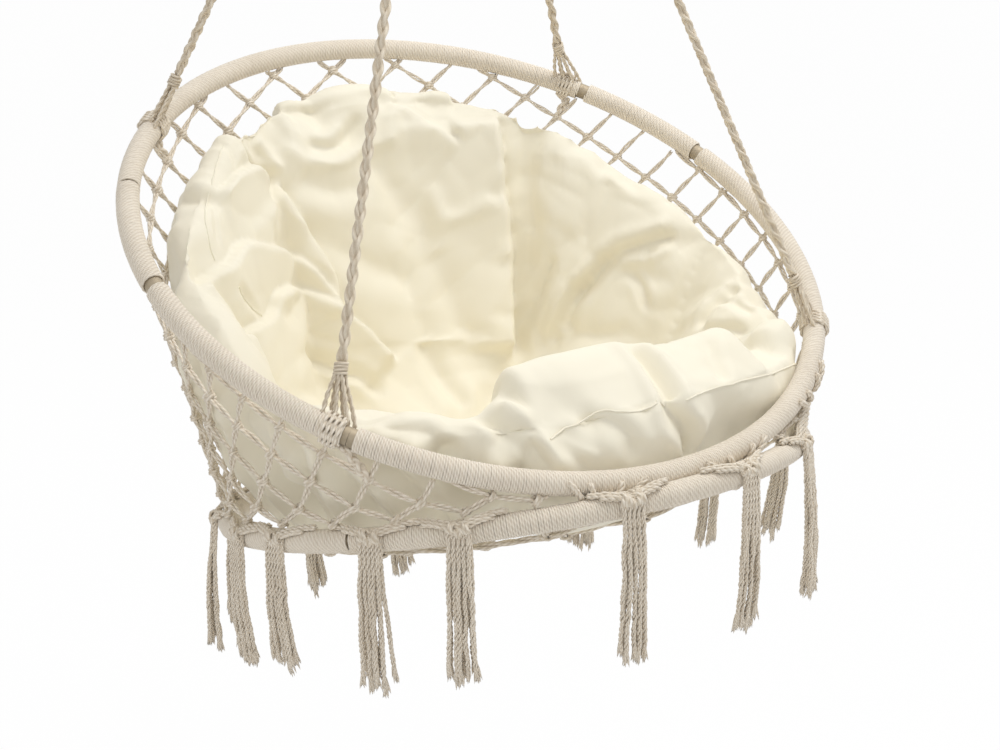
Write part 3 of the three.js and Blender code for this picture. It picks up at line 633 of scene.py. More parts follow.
def slack_line(a, b, rng, bow=1.2):
    """A nearly straight line between two knots, with a small bow to one side."""
    off = jitter(rng, bow)
    return [a.lerp(b, i / 6) + off * math.sin(math.pi * i / 6) for i in range(7)]


rng = random.Random(4)
knot_place = {k: net_point(k[0] * HALF_COLUMN, row_height(*k)) for k in net_knots}
PANELS = {"right_back": (1, 2), "right_front": (3, 4), "left_front": (5, 6), "left_back": (7, 8)}
net_lines = {name: [] for name in PANELS}
for column, row in sorted(net_knots):
    here = knot_place[column, row]
    quarter = list(PANELS)[column * 4 // (2 * COLUMNS)]
    for side in (-1, 1):
        other = ((column + side) % (2 * COLUMNS), row + 1)
        there = knot_place.get(other) or end_on_hoop(column, row, side)
        if (there - here).length > SHORTEST_LEG:
            net_lines[quarter].append(slack_line(here, there, rng))
print("legs:", {name: len(lines) for name, lines in net_lines.items()})

# %% Cords of the net
# the second colour is painted shade in the net cords' grooves, and their darker random tone
net_cotton = cord_material("net cotton", shade(248, 240, 226), shade(206, 191, 168), 125)
CORD_PAIR = dict(Strands=2, Lay_radius=0.0017, Pitch=0.075, Step=0.004, Cord_radius=0.00165,
                 End_taper=0.001, Wander=0.0006, Wander_size=60.0, Sides=6, Material=net_cotton)
for name, lines in net_lines.items():
    cords = grow(f"net_cords_{name}", lines_object("net lines", lines), lay_strands, **CORD_PAIR)
    dress(cords, "net", *(f"side_net_{i}" for i in PANELS[name]))

# %% [markdown]
# ## The knots of the net
# Where two pairs of cords cross they are tied in a square knot: the working cords wrap round the
# others twice and pull tight into a lump about a centimetre across. A few hundred of them are needed,
# so one light knot is made, a short coil of cord pressed a little flat, and a tree sets a copy on
# each crossing. Each point carries two directions, so every knot sits square on the slanting net.

# %% The tree that ties knots
def knot_tree():
    tree = growing_tree("tie knots", Knot="object", Knot_size=1.0, Seed=0, Material="material")
    shape = tree.get("GeometryNodeObjectInfo", {"transform_space": "ORIGINAL"}, "Geometry",
                     Object=tree.size("Knot"))
    up, out = (tree.get("GeometryNodeInputNamedAttribute", {"data_type": "FLOAT_VECTOR"}, "Attribute",
                        Name=name) for name in ("up", "out"))
    facing = tree.get("FunctionNodeAxesToRotation", {"primary_axis": "Z", "secondary_axis": "Y"},
                      Primary_Axis=up, Secondary_Axis=out)
    varied = tree.get("FunctionNodeRandomValue", {"data_type": "FLOAT"}, i2=0.88, i3=1.14,
                      Seed=tree.size("Seed"))
    copies = tree.get("GeometryNodeInstanceOnPoints", Points=tree.size("Geometry"), Instance=shape,
                      Rotation=facing, Scale=tree.size("Knot size") * varied)
    return close_tree(tree, copies)


tie_knots = knot_tree()


def spiral(turns, wide, deep, tall, points_a_turn=12):
    """A flat-sided coil about Z, in millimetres."""
    count = round(turns * points_a_turn)
    return [Vector((wide * math.cos(a), deep * math.sin(a), tall * (i / count - 0.5)))
            for i in range(count + 1) for a in [math.tau * turns * i / count]]


def knot_points(places):
    """Bare points for knots, each with the directions of the net at that place."""
    mesh = bpy.data.meshes.new("knot places")
    mesh.from_pydata([place * MM for place, _, _ in places], [], [])
    for name, index in (("up", 1), ("out", 2)):
        layer = mesh.attributes.new(name, "FLOAT_VECTOR", "POINT")
        layer.data.foreach_set("vector", [c for item in places for c in item[index]])
    return into_scene("knot places", mesh)


square_knot = grow("square knot", lines_object("knot line", [spiral(2.4, 5.0, 4.0, 7.4)]), lay_strands,
                   Strands=1, Lay_radius=0.0, Pitch=1.0, Step=0.0035, Cord_radius=0.0019,
                   End_taper=0.002, Sides=5, Material=net_cotton)


def leaning(vector, rng, amount):
    """The same direction, a little off."""
    return (vector + jitter(rng, amount)).normalized()


def tie(name, places, seed):
    """A piece of net knots at some places."""
    knotted = grow(name, knot_points(places), tie_knots, Knot=square_knot, Knot_size=1.0, Seed=seed,
                   Material=net_cotton)
    dress(knotted, "net")


knots = []
for column, row in sorted(net_knots):
    along, up, out = net_frame(column * HALF_COLUMN, row_height(column, row))
    knots.append((knot_place[column, row], leaning(up, rng, 0.22), leaning(out, rng, 0.1)))
tie("net_knots", knots, 3)

# %% [markdown]
# ## The seat net
# Under the cushion the same kind of net crosses the seat hoop and sags a little under the weight. Its
# knots lie on a square grid, on every second crossing, and each sends a pair of cords to its four
# neighbours or, at the edge, to the hoop.

# %% Seat net
SEAT_PITCH, SEAT_EDGE, SEAT_SAG, SEAT_WORKED_IN = 60, 16.3, 50, 2.5


def seat_net_place(x, y):
    """A place on the sagging net, from its grid."""
    turn, radius = math.atan2(x, y), math.hypot(x, y)
    return seat_point(turn, radius, SEAT_SAG * (1 - (radius / SEAT) ** 4))


def seat_net_end(column, row, side, rise):
    """Where a pair of cords that leaves a knot meets the hoop."""
    def on_way(share):
        return (column + side * share) * SEAT_PITCH, (row + rise * share) * SEAT_PITCH

    reach = SEAT - COIL + SEAT_WORKED_IN
    return seat_net_place(*on_way(last_outside(lambda share: math.hypot(*on_way(share)) < reach, 2)))


across_seat = range(-6, 7)
seat_knots = {(c, r) for c in across_seat for r in across_seat
              if (c + r) % 2 == 0 and math.hypot(c, r) * SEAT_PITCH < SEAT - COIL - SEAT_EDGE}
seat_lines = []
for column, row in sorted(seat_knots):
    here = seat_net_place(column * SEAT_PITCH, row * SEAT_PITCH)
    for side in (-1, 1):
        for rise in (-1, 1):
            other = (column + side, row + rise)
            if other not in seat_knots:
                seat_lines.append(slack_line(here, seat_net_end(column, row, side, rise), rng))
            elif rise > 0:
                seat_lines.append(slack_line(here, seat_net_place(*(SEAT_PITCH * v for v in other)), rng))
seat_cords = grow("seat_net_cords", lines_object("seat net lines", seat_lines), lay_strands, **CORD_PAIR)
dress(seat_cords, "net", "seat_net")
seat_back, seat_up = turned(0, 1, 0, SEAT_TILT), turned(0, 0, 1, SEAT_TILT)
tie("seat_net_knots", [(seat_net_place(c * SEAT_PITCH, r * SEAT_PITCH), seat_back, leaning(seat_up, rng, 0.1))
                       for c, r in sorted(seat_knots)], 5)

# %% [markdown]
# ## Where the ropes grip the hoop
# A rope isn't simply tied on. Just above the hoop it is whipped with a few turns of cord, and below
# the whipping its strands are let go and spread like fingers over the winding, where they are worked
# in under it. The whipping is one short coil, and each finger is a short cord of its own: it comes
# down inside the whipping, spreads, and dives under the winding, in front of its neighbour or behind.

# %% Whippings and fingers
FINGERS, SPREAD, APART = 6, 19, 2.6
for name, turn_degrees in ROPE_TURNS.items():
    turn = math.radians(turn_degrees)
    grip, line = rope_line(turn_degrees)[:2]
    along = direction(upper_point, turn).normalized()
    towards = (line - along * line.dot(along)).normalized()
    aside = along.cross(towards)
    root = grip + line * (WHIPPING_FOOT + 2)
    fingers = []
    for i in range(FINGERS):
        share = (i + 0.5) / (FINGERS / 2) - 1
        depth = (-1) ** i * APART
        end = grip + along * share * SPREAD
        fingers.append([root + line * 13 + along * share * 2 + aside * depth * 0.5,
                        root + line * 2 + along * share * 4 + aside * depth,
                        root.lerp(end + towards * 13, 0.35) + along * share * 4 + aside * depth * 1.1,
                        root.lerp(end + towards * 13, 0.75) + along * share * 2 + aside * depth * 1.3,
                        end + towards * 12.5 + aside * depth * 1.5,
                        end + along * share * 1.5 + towards * 9 + aside * depth * 1.8])
    smooth_fingers = [smooth_line(points, 4) for points in fingers]
    cords = grow(f"splayed_strands_{name}", lines_object("fingers", smooth_fingers), lay_strands,
                 Strands=2, Lay_radius=0.0011, Pitch=0.018, Step=0.0022, Cord_radius=0.0014,
                 End_taper=0.001, Wander=0.0005, Wander_size=80.0, Sides=8, Seed=int(turn_degrees) + 200,
                 Material=rope_cotton)
    dress(cords, "rope", f"splay_{name}")
    wrap = grow(f"rope_whipping_{name}", lines_object("whipping line", [[root - line * 1, root + line * 12]]),
                lay_strands, Strands=1, Lay_radius=0.0058, Pitch=0.0031, Step=0.0031 / 14,
                Cord_radius=0.0016, End_taper=0.002, Wander=0.0003, Wander_size=150.0, Sides=6,
                Material=rope_cotton)
    dress(wrap, "rope")

# %% [markdown]
# ## From the rope into the net
# Below the fingers four thick cords go over each face of the winding, close together, and meet under
# the hoop in a short plait, which runs down to the nearest knot of the net.

# %% Hitches and short plaits
HITCH_CORD, ROOM_BELOW, PLAIT_RUN = 5.4, 9, 16  # cord to cord; hoop to plait; the plait's usual length
NARROWED, HITCH_STEPS = 0.45, 8


def hitch_cord(turn, start, end, beside, gathered):
    """One cord round the upper winding between two angles, drawn in sideways on its way."""
    ring_up = turned(0, 0, 1, UPPER_TILT)
    over = []
    for i in range(HITCH_STEPS + 1):
        share = i / HITCH_STEPS
        angle = math.radians(start + (end - start) * i / HITCH_STEPS)
        around = turn + beside * (1 - NARROWED * share ** 2) / UPPER
        out = turned(math.sin(around), math.cos(around), 0, UPPER_TILT)
        over.append(upper_point(around) + (out * math.cos(angle) + ring_up * math.sin(angle)) * (COIL + 1.9))
    return smooth_line(over + [gathered.lerp(over[-1], 0.25)], 3)


for name, turn_degrees in ROPE_TURNS.items():
    turn = math.radians(turn_degrees)
    line = rope_line(turn_degrees)[1]
    down = -net_frame(turn, net_depth(turn))[1]
    ring_way = turned(math.sin(turn), math.cos(turn), 0, UPPER_TILT)
    ring_up = turned(0, 0, 1, UPPER_TILT)
    start = math.degrees(math.atan2(line.dot(ring_up), line.dot(ring_way)))
    end = math.degrees(math.atan2(down.dot(ring_up), down.dot(ring_way)))
    gathered = upper_point(turn) + down * (COIL + ROOM_BELOW)
    foot = min(knot_place.values(), key=lambda place: (place - gathered - down * PLAIT_RUN).length)
    hitch = [hitch_cord(turn, start, end + k % 2 * 360, (k // 2 - 1.5) * HITCH_CORD, gathered)
             for k in range(8)]
    over_hoop = grow(f"rope_hitch_{name}", lines_object("hitch lines", hitch), lay_strands,
                     Strands=2, Lay_radius=0.0012, Pitch=0.022, Step=0.0025, Cord_radius=0.0016,
                     End_taper=0.001, Wander=0.0006, Wander_size=60.0, Sides=7, Material=net_cotton)
    dress(over_hoop, "rope")
    route = [gathered - down * 6, gathered, gathered.lerp(foot, 0.5), foot, foot + down * 5]
    short = grow(f"short_plait_{name}", lines_object("plait line", [smooth_line(route, 6)]), lay_strands,
                 **PLAIT | dict(Lay_radius=0.0034, Pitch=0.04, Material=net_cotton))
    dress(short, "net")

# %% [markdown]
# ## Tassels and the hitches above them
# The cords that come down the net don't end at the seat hoop. They are plaited and run over its
# winding from both sides, meet in a hitch on its outer face, and hang down from there as a tassel,
# ten cords side by side in two rows. A hanging cord is three plies with a clear twist, and its last
# centimetres have come untwisted into a brush of fibres. No two tassels are quite alike: each row
# below gives a tassel's place on the hoop as a share of the way round from the back, its length and
# the distance that its foot stands out.

# %% Plaits over the hoops
# the second colour is painted shade in the tassel cords' grooves, and their darker random tone
tassel_cotton = cord_material("tassel cotton", shade(248, 240, 226), shade(208, 193, 171), 230)
JOINED = (6, 7, 8)  # the tassels in front, whose plaits also go over the upper hoop
TASSELS = [(0.0125, 168, 4), (0.0715, 155, 4), (0.136, 173, 4), (0.228, 176, 4), (0.295, 146, 2),
           (0.4035, 162, 21), (0.468, 170, 7), (0.5365, 160, 11), (0.6155, 154, 18), (0.658, 156, 15),
           (0.7167, 141, 11), (0.7535, 145, 13), (0.82, 150, 26), (0.872, 150, 24), (0.948, 158, 6)]


def on_winding(point_of, tilt, radius, turn, beside, angle, lift):
    """A place on a winding, beside a turn; the angle is 0 outside and 90 degrees on top."""
    here = turn + beside / radius
    out = turned(math.sin(here), math.cos(here), 0, tilt)
    up = turned(0, 0, 1, tilt)
    a = math.radians(angle)
    return point_of(here) + (out * math.cos(a) + up * math.sin(a)) * (COIL + lift)


on_seat_hoop = partial(on_winding, seat_point, SEAT_TILT, SEAT)
on_upper_hoop = partial(on_winding, upper_point, UPPER_TILT, UPPER)


def outward_and_along(turn):
    """The level directions away from the chair and round it at a turn."""
    return Vector((math.sin(turn), math.cos(turn), 0)), Vector((math.cos(turn), -math.sin(turn), 0))


rng = random.Random(11)
plaits, hitches = [], []
for number, (share, _, _) in enumerate(TASSELS, 1):
    turn = share * math.tau
    for side in (-1, 1):
        reach = rng.uniform(0.85, 1.2)
        for k in range(2):
            near, far = -side * 4, side * (34 + 12 * k) * reach
            low, high = 10 + 14 * k, 58 + 24 * k
            plaits.append([
                on_seat_hoop(turn, near + (far - near) * t, low + (high - low) * t ** 0.8,
                             2.4 + 1.5 * math.sin(math.pi * t)) for t in (i / 10 for i in range(11))])
        if number in JOINED:
            for k in range(2):
                far = side * (16 + 22 * k) * reach
                plaits.append([
                    on_seat_hoop(turn, side * 3, 22, 3),
                    on_seat_hoop(turn, side * 5 + far * 0.2, 48, 4.5),
                    on_upper_hoop(turn, far * 0.4, -48, 4.5),
                    on_upper_hoop(turn, far * 0.7, -10, 3),
                    on_upper_hoop(turn, far, 22 + 12 * k, 2.2),
                    on_upper_hoop(turn, far * 1.15, 52, 0.5)])
    head = on_seat_hoop(turn, 0, 14, 4)
    out, along = outward_and_along(turn)
    hitches += [(head + along * x + Vector((0, 0, z)), leaning(along, rng, 0.5), leaning(out, rng, 0.2))
                for x, z in ((-7, 2), (0, -2), (7, 2))]
plaited = grow("hoop_plaits", lines_object("plait lines", [smooth_line(p, 4) for p in plaits]), lay_strands,
               Strands=3, Lay_radius=0.0019, Pitch=0.021, Step=0.0028, Cord_radius=0.0017,
               End_taper=0.002, Wander=0.0009, Wander_size=60.0, Sides=6, Material=net_cotton)
dress(plaited, "net")
tie("tassel_hitches", hitches, 7)
bpy.data.objects.remove(square_knot)


# %% Hanging cords and their brushes
CORDS, FIBRES, KNEE = 10, 13, 26
SCATTER, SAG = 3, 2.5  # of a cord's foot, and outwards half way down


def hanging_cord(turn, beside, row, length, stand):
    """One end of a tassel: from the hitch, over the outer face of the winding, down to its brush."""
    out, along = outward_and_along(turn)
    here = seat_point(turn) + along * beside
    knee = here + out * (COIL + 1.5 + row * 3.4 + stand * 0.15) - Vector((0, 0, KNEE))
    away = stand + row * 6.5 - 3 + rng.uniform(-SCATTER, SCATTER)
    foot = here + out * away + along * (beside * 0.34 + rng.uniform(-SCATTER, SCATTER))
    foot.z -= length
    leg = [knee.lerp(foot, i / 6) for i in range(7)]
    for i, point in enumerate(leg[1:-1], 1):
        bent = rng.uniform(-1, 1) + SAG * math.sin(math.pi * i / 6)
        leg[i] = point + out * bent + along * rng.uniform(-1.2, 1.2)
    start = [on_seat_hoop(turn, beside * 0.7, 30, 1.5), on_seat_hoop(turn, beside * 0.9, 2, 2.6 + row * 2.6)]
    return smooth_line(start + leg, 3)


for number, (share, length, stand) in enumerate(TASSELS, 1):
    turn = share * math.tau
    ends, brushes = [], []
    for i in range(CORDS):
        row = i % 2
        beside = (i // 2 - 2) * 4.8 + row * 1.6 - 0.8
        line = hanging_cord(turn, beside, row, length - rng.uniform(6, 24), stand)
        ends.append(line)
        down = (line[-1] - line[-4]).normalized()
        for _ in range(FIBRES):
            sweep = Vector([rng.uniform(-0.16, 0.16), rng.uniform(-0.16, 0.16), 0])
            start = line[-1] - down * rng.uniform(10, 14) + jitter(rng, 1.6)
            run = rng.uniform(17, 21)
            brushes.append([start + (down + sweep * (j / 4)) * run * (j / 4) for j in range(5)])
    cords = grow(f"tassel_cords_{number:02d}", lines_object("hanging lines", ends), lay_strands,
                 Strands=3, Lay_radius=0.0014, Pitch=0.0175, Step=0.0022, Cord_radius=0.0012,
                 End_taper=0.003, Wander=0.0012, Wander_size=35.0, Sides=5, Seed=number * 10,
                 Material=tassel_cotton)
    dress(cords, "tassel", f"tassel_{number:02d}")
    brush = grow(f"tassel_brush_{number:02d}", lines_object("fibres", brushes), lay_strands,
                 Strands=1, Lay_radius=0.0, Pitch=1.0, Step=0.005, Cord_radius=0.00115,
                 End_taper=0.0007, Wander=0.0012, Wander_size=120.0, Sides=4, Material=tassel_cotton)
    dress(brush, "tassel")

# %% [markdown]
# ## The neck, its loops and the ring
# Above the camera's view the four ropes come together in a neck bound with cord, and two doubled
# ropes leave it upwards to hang in a welded ring. The loops are plaited like the other ropes, along a
# path that bends over the ring. The binding is wound on a plain core, which fills the gaps in it.

# %% Neck and loops
NECK_TOP, RING_Z, RING_R, RING_WIRE = -125.7, -73.7, 26, 8
RING_FOOT = RING_Z - RING_R
LOOP_BEND, LOOP_LEG = 12.5, 5.8
for side, x in (("left", -6.2), ("right", 6.2)):
    bend = [Vector((x, LOOP_BEND * math.cos(a), RING_FOOT - 1 + LOOP_BEND * math.sin(a)))
            for a in (i / 8 * math.pi for i in range(9))]
    route = smooth_line([Vector((x, LOOP_LEG, NECK_FOOT + 4)), Vector((x, LOOP_LEG, NECK_TOP - 2)), *bend,
                         Vector((x, -LOOP_LEG, NECK_TOP - 2)), Vector((x, -LOOP_LEG, NECK_FOOT + 4))], 4)
    loop = grow(f"plaited_loop_{side}", lines_object("loop line", [route]), lay_strands,
                **PLAIT | dict(Lay_radius=0.003))
    dress(loop, "rope", f"rope_loop_{side}", body="neck")
neck_line = lines_object("neck line", [[(0, 0, NECK_FOOT + 1.5), (0, 0, NECK_TOP - 1.5)]])
binding = grow("neck_binding", neck_line, lay_strands, Strands=1, Lay_radius=0.0166, Pitch=0.0034,
               Step=0.0034 / 24, Cord_radius=0.0018, End_taper=0.004, Wander=0.0003, Wander_size=120.0,
               Sides=7, Material=rope_cotton)
dress(binding, "rope", "neck_whipping", body="neck")
core_line = lines_object("core line", [[(0, 0, NECK_FOOT + 1), (0, 0, NECK_TOP - 1)]])
core = grow("neck_core", core_line, bend_tube, Tube_radius=0.0158, Sides=28, Material=rope_cotton)
dress(core, "rope", body="neck")

# %% Ring
zinc = metal_material("zinc plate", shade(186, 188, 190), 0.34, 90.0)
ring_line = [(RING_R * math.cos(a), 0, RING_Z + RING_R * math.sin(a))
             for a in (i / 72 * math.tau for i in range(72))]
ring = grow("welded_ring", lines_object("ring line", [ring_line], closed=True), bend_tube,
            Tube_radius=RING_WIRE / 2 * MM, Sides=24, Material=zinc)
dress(ring, "hardware", "hanging_ring", body="ring")

# %% [markdown]
# ## The snap hook
# A snap hook is one bent wire and a sprung gate that turns on a pin. The gate's foot is forked and
# straddles a flat tongue at the end of the wire. The wire and the gate's rod are swept; the tongue
# and the fork's ears are flat plates with round ends, and a small bevel takes the light.

# %% Snap hook
HOOK_FOOT_Z, HOOK_TOP_Z, FOOT_R, TOP_R = -44, -10, 12, 14
WIRE, ROD, EAR = 4, 3.9, 7.6  # radii of the wire and the gate's rod, and the plates' width
PIVOT = Vector((0, 12, -38))


def plate(name, low_x, high_x, foot, top, width):
    """A flat plate with round ends between two points in the plane of Y and Z, across X."""
    run = (top - foot).normalized()
    aside = Vector((0, run.z, -run.y))
    outline = []
    for centre, sign in ((top, 1), (foot, -1)):
        for i in range(9):
            a = math.pi * i / 8
            outline.append(centre + (aside * math.cos(a) + run * math.sin(a)) * sign * width / 2)
    mesh = bpy.data.meshes.new(name)
    points = [(x * MM, p.y * MM, p.z * MM) for x in (low_x, high_x) for p in outline]
    n = len(outline)
    mesh.from_pydata(points, [], [tuple(range(n)), tuple(range(2 * n - 1, n - 1, -1))]
                     + [(i, n + i, n + (i + 1) % n, (i + 1) % n) for i in range(n)])
    shaped = bmesh.new()
    shaped.from_mesh(mesh)
    bmesh.ops.recalc_face_normals(shaped, faces=shaped.faces)
    bmesh.ops.bevel(shaped, geom=shaped.edges, offset=0.0004, segments=2, affect="EDGES")
    shaped.to_mesh(mesh)
    shaped.free()
    mesh.materials.append(zinc)
    return into_scene(name, mesh)


def swept(name, line, radius, body, *nodes):
    """A round steel piece along a line."""
    piece = grow(name, lines_object(f"{name} line", [line]), bend_tube, Tube_radius=radius * MM,
                 Sides=24, Material=zinc)
    return dress(piece, "hardware", *nodes, body=body)


foot_bend = [Vector((0, FOOT_R * math.cos(a), HOOK_FOOT_Z + FOOT_R * math.sin(a)))
             for a in (-math.pi * i / 24 for i in range(25))]
top_bend = [Vector((0, TOP_R * math.cos(a), HOOK_TOP_Z + TOP_R * math.sin(a)))
            for a in (math.pi * (1 - i / 24) for i in range(25))]
nose = Vector((0, TOP_R, HOOK_TOP_Z - 5))
swept("hook_wire", foot_bend + top_bend + [nose], WIRE, "hook", "snap_hook")
tongue = plate("hook_tongue", -1.5, 1.5, Vector((0, 12, -43.5)), PIVOT + Vector((0, 0, 1)), EAR)
dress(tongue, "hardware", body="hook")
gate_run = (nose - PIVOT).normalized()
gate_end = PIVOT + gate_run * ((nose - PIVOT).length - 0.9)
swept("gate_rod", [PIVOT + gate_run * 7.2, gate_end], ROD, "gate", "hook_gate")
for side, (low, high) in (("left", (-3.9, -1.85)), ("right", (1.85, 3.9))):
    ear = plate(f"gate_ear_{side}", low, high, PIVOT, PIVOT + gate_run * 6, EAR)
    dress(ear, "hardware", body="gate")
swept("pin_shaft", [(-4.3, PIVOT.y, PIVOT.z), (4.3, PIVOT.y, PIVOT.z)], 1.5, "hook", "gate_pin")
for side, low, high in (("left", -4.9, -4.1), ("right", 4.1, 4.9)):
    swept(f"pin_head_{side}", [(low, PIVOT.y, PIVOT.z), (high, PIVOT.y, PIVOT.z)], 2.3, "hook")
print("hook's gate, mm:", round((gate_end - PIVOT).length, 1))

# %% [markdown]
# ## The cushion
# The cushion is one big round cover of cotton canvas, loosely filled, pressed into the bowl of the
# net so that it stands up round the sitter as eight uneven petals. Between the petals the cover is
# drawn in. Real canvas has more cloth than its filling needs, so it buckles into folds; that is hard
# to draw by hand and easy to simulate. The plain form is built from slices first, then shrunk a
# little, remeshed into even small faces, and blown up as cloth that is slightly too large for its
# shape, with the seams pinned. The movement is capped, so that it stays inside the net.

# %% Slices of the cushion
PETAL_SEAMS = [0.111, 0.244, 0.333, 0.458, 0.597, 0.717, 0.806, 0.922]  # shares of the way round
SEAM_DEPTHS = [0.9, 0.8, 0.8, 0.2, 0.8, 0.8, 0.8, 0.9]
OUTER_SIDE = [(0.28, 0), (0.54, 0.01), (0.76, 0.05), (0.9, 0.16), (0.97, 0.38), (1, 0.66), (0.99, 0.9)]
INNER_SIDE = [(0.95, 0.93), (0.87, 0.72), (0.79, 0.45), (0.68, 0.2), (0.52, 0.06), (0.3, 0)]
NET_GAP, WALL_GAP, FRONT_WALL_GAP = 5.4, 9, 18
RIDGE_INSET, BOLSTER_INSET, RIDGE_DROP, BOLSTER_HEIGHT = 46, 105, 37, 98
SEAT_THICKNESS, SEAM_DEPTH, SEAM_DIP = 75, 26, 20


def smooth_step(value, low, high):
    """0 up to low, 1 from high on, and an even rise between them."""
    t = min(1, max(0, (value - low) / (high - low)))
    return t * t * (3 - 2 * t)


def inside_net(turn, z, gap, share):
    """A point inside the nets, a gap in from them and a share of the way out; z is from the centre."""
    foot, head = seat_point(turn) - CENTRE, upper_point(turn) - CENTRE
    rise = min(1, max(0, (z - foot.z) / (head.z - foot.z)))
    axis = SEAT_CENTRE * (1 - rise)
    wall = foot.lerp(head, rise) - axis
    wall.z = 0
    wall = wall.normalized() * (wall.length - gap) * share
    return Vector((axis.x + wall.x, axis.y + wall.y, z))


def seat_net_height(point):
    """The height of the seat net under a point, with room for its knots."""
    forward = (point.y - SEAT_CENTRE.y) / math.cos(SEAT_TILT)
    share = math.hypot(point.x, forward) / SEAT
    sag = SEAT_SAG * (1 - share ** 4) / math.cos(SEAT_TILT)
    return SEAT_CENTRE.z + forward * math.sin(SEAT_TILT) - sag + NET_GAP


def cushion_slice(turn, fullness):
    """One slice of the cushion: up its outer side, over the ridge and down its inner side."""
    drawn = 1 - fullness
    from_back = abs(math.pi - abs(turn - math.pi))
    front = smooth_step(from_back, math.radians(125), math.pi)
    past = smooth_step(from_back, math.radians(85), math.radians(125))
    wall_gap = WALL_GAP + (FRONT_WALL_GAP - WALL_GAP) * past
    crest = max((upper_point(turn) - CENTRE).z - RIDGE_DROP, -BOLSTER_HEIGHT) - SEAM_DIP * drawn
    ridge = inside_net(turn, crest, RIDGE_INSET + (BOLSTER_INSET - RIDGE_INSET) * front, 1)
    points = []
    for across, up in OUTER_SIDE:
        low = seat_net_height(inside_net(turn, (seat_point(turn) - CENTRE).z, wall_gap, across))
        points.append(inside_net(turn, low + (crest - low) * up, wall_gap + SEAM_DIP * drawn * up, across))
    points.append(ridge)
    axis = inside_net(turn, crest, 0, 0)
    for across, up in INNER_SIDE:
        place = axis.lerp(ridge, across)
        place += (ridge - axis).normalized() * SEAM_DEPTH * drawn * math.sqrt(math.sin(math.pi * across))
        low = seat_net_height(place) + SEAT_THICKNESS - SEAM_DIP * drawn
        place.z = low + (crest - low) * up
        points.append(place)
    return points


# %% Form of the cushion
SLICES_A_PETAL = 30


def petals():
    """The number of each petal, and its two seams."""
    for i, seam in enumerate(PETAL_SEAMS):
        yield i, seam, PETAL_SEAMS[i + 1] if i + 1 < len(PETAL_SEAMS) else PETAL_SEAMS[0] + 1


def fullness_at(turn):
    """How full the cushion is at a turn: 1 in the middle of a petal, less at a seam."""
    share = turn / math.tau
    for i, seam, after in petals():
        across = ((share - seam) % 1) / (after - seam)
        if across < 1:
            depth = SEAM_DEPTHS[i] * (1 - across) + SEAM_DEPTHS[(i + 1) % len(SEAM_DEPTHS)] * across
            return 1 - depth * (1 - math.sqrt(math.sin(math.pi * across)))
    return 1


middle_low = SEAT_CENTRE.copy()
middle_low.z = seat_net_height(middle_low)
middle_top = middle_low + Vector((0, 0, SEAT_THICKNESS))


def slice_line(turn):
    """A whole slice as a smooth line, without the two middle points that all slices share."""
    return smooth_line([middle_low, *cushion_slice(turn, fullness_at(turn)), middle_top], 4)[1:-1]


slices = []
for _, seam, after in petals():
    for j in range(SLICES_A_PETAL):
        share = j / SLICES_A_PETAL
        slices.append([CENTRE + p for p in slice_line((seam + (after - seam) * share) % 1 * math.tau)])
rings = len(slices[0])
corners = [(CENTRE + middle_low) * MM, (CENTRE + middle_top) * MM]
faces = []
for i, line in enumerate(slices):
    here, after = 2 + i * rings, 2 + (i + 1) % len(slices) * rings
    corners += [p * MM for p in line]
    faces.append((0, here, after))
    faces.append((1, after + rings - 1, here + rings - 1))
    faces += [(here + k, here + k + 1, after + k + 1, after + k) for k in range(rings - 1)]
form = bpy.data.meshes.new("cushion form")
form.from_pydata(corners, [], faces)
cushion = into_scene("canvas_cushion", form)
print("cushion form:", len(form.polygons), "faces")

# %% Even faces for the cloth
VOXEL, SHRUNK, CAP, FRAMES, EVENED = 0.007, 0.006, 0.016, 20, 5
NEAR_SEAM = 0.009


def settle(piece, modifier):
    """Applies a modifier by keeping the evaluated mesh."""
    mesh = bpy.data.meshes.new_from_object(
        piece.evaluated_get(bpy.context.evaluated_depsgraph_get()))
    piece.modifiers.remove(modifier)
    piece.data = mesh


def vertex_rows(mesh, what="co"):
    """The place or the normal of each vertex, one row for each."""
    rows = np.empty(len(mesh.vertices) * 3)
    mesh.vertices.foreach_get(what, rows)
    return rows.reshape(-1, 3)


def evened(mesh, vectors, passes):
    """Evens out one vector at each vertex with those of the vertices next to it."""
    pairs = np.empty(len(mesh.edges) * 2, dtype=int)
    mesh.edges.foreach_get("vertices", pairs)
    first, second = pairs.reshape(-1, 2).T
    beside = np.bincount(pairs, minlength=len(vectors))[:, None]
    for _ in range(passes):
        total = np.zeros_like(vectors)
        np.add.at(total, first, vectors[second])
        np.add.at(total, second, vectors[first])
        vectors = vectors / 2 + total / beside / 2
    return vectors


remesh = cushion.modifiers.new("even faces", "REMESH")
remesh.mode = "VOXEL"
remesh.voxel_size = VOXEL
settle(cushion, remesh)
mesh = cushion.data
start = vertex_rows(mesh) - vertex_rows(mesh, "normal") * SHRUNK
mesh.vertices.foreach_set("co", start.ravel())

seam_points = np.array([list(p * MM) for i in range(0, len(slices), SLICES_A_PETAL) for p in slices[i]])
tree_of_seams = BVHTree.FromPolygons(
    [Vector(p) for p in seam_points],
    [(k, k + 1, k + 1) for k in range(len(seam_points) - 1) if (k + 1) % rings])
held = cushion.vertex_groups.new(name="held")
for i, place in enumerate(start):
    distance = tree_of_seams.find_nearest(Vector(place), 0.03)[3]
    if distance is not None and distance < NEAR_SEAM:
        held.add([i], 1.0, "REPLACE")
print("even faces:", len(mesh.polygons))

# %% [markdown]
# Pressure from inside fills the cover, a negative shrink makes the cloth larger than its form, and a
# low bending stiffness lets it buckle. The form before the simulation is kept too, because the long
# folds of the next step are laid out on its smoother skin.

# %% Blow the cover up as cloth
still = into_scene("still form", mesh.copy())

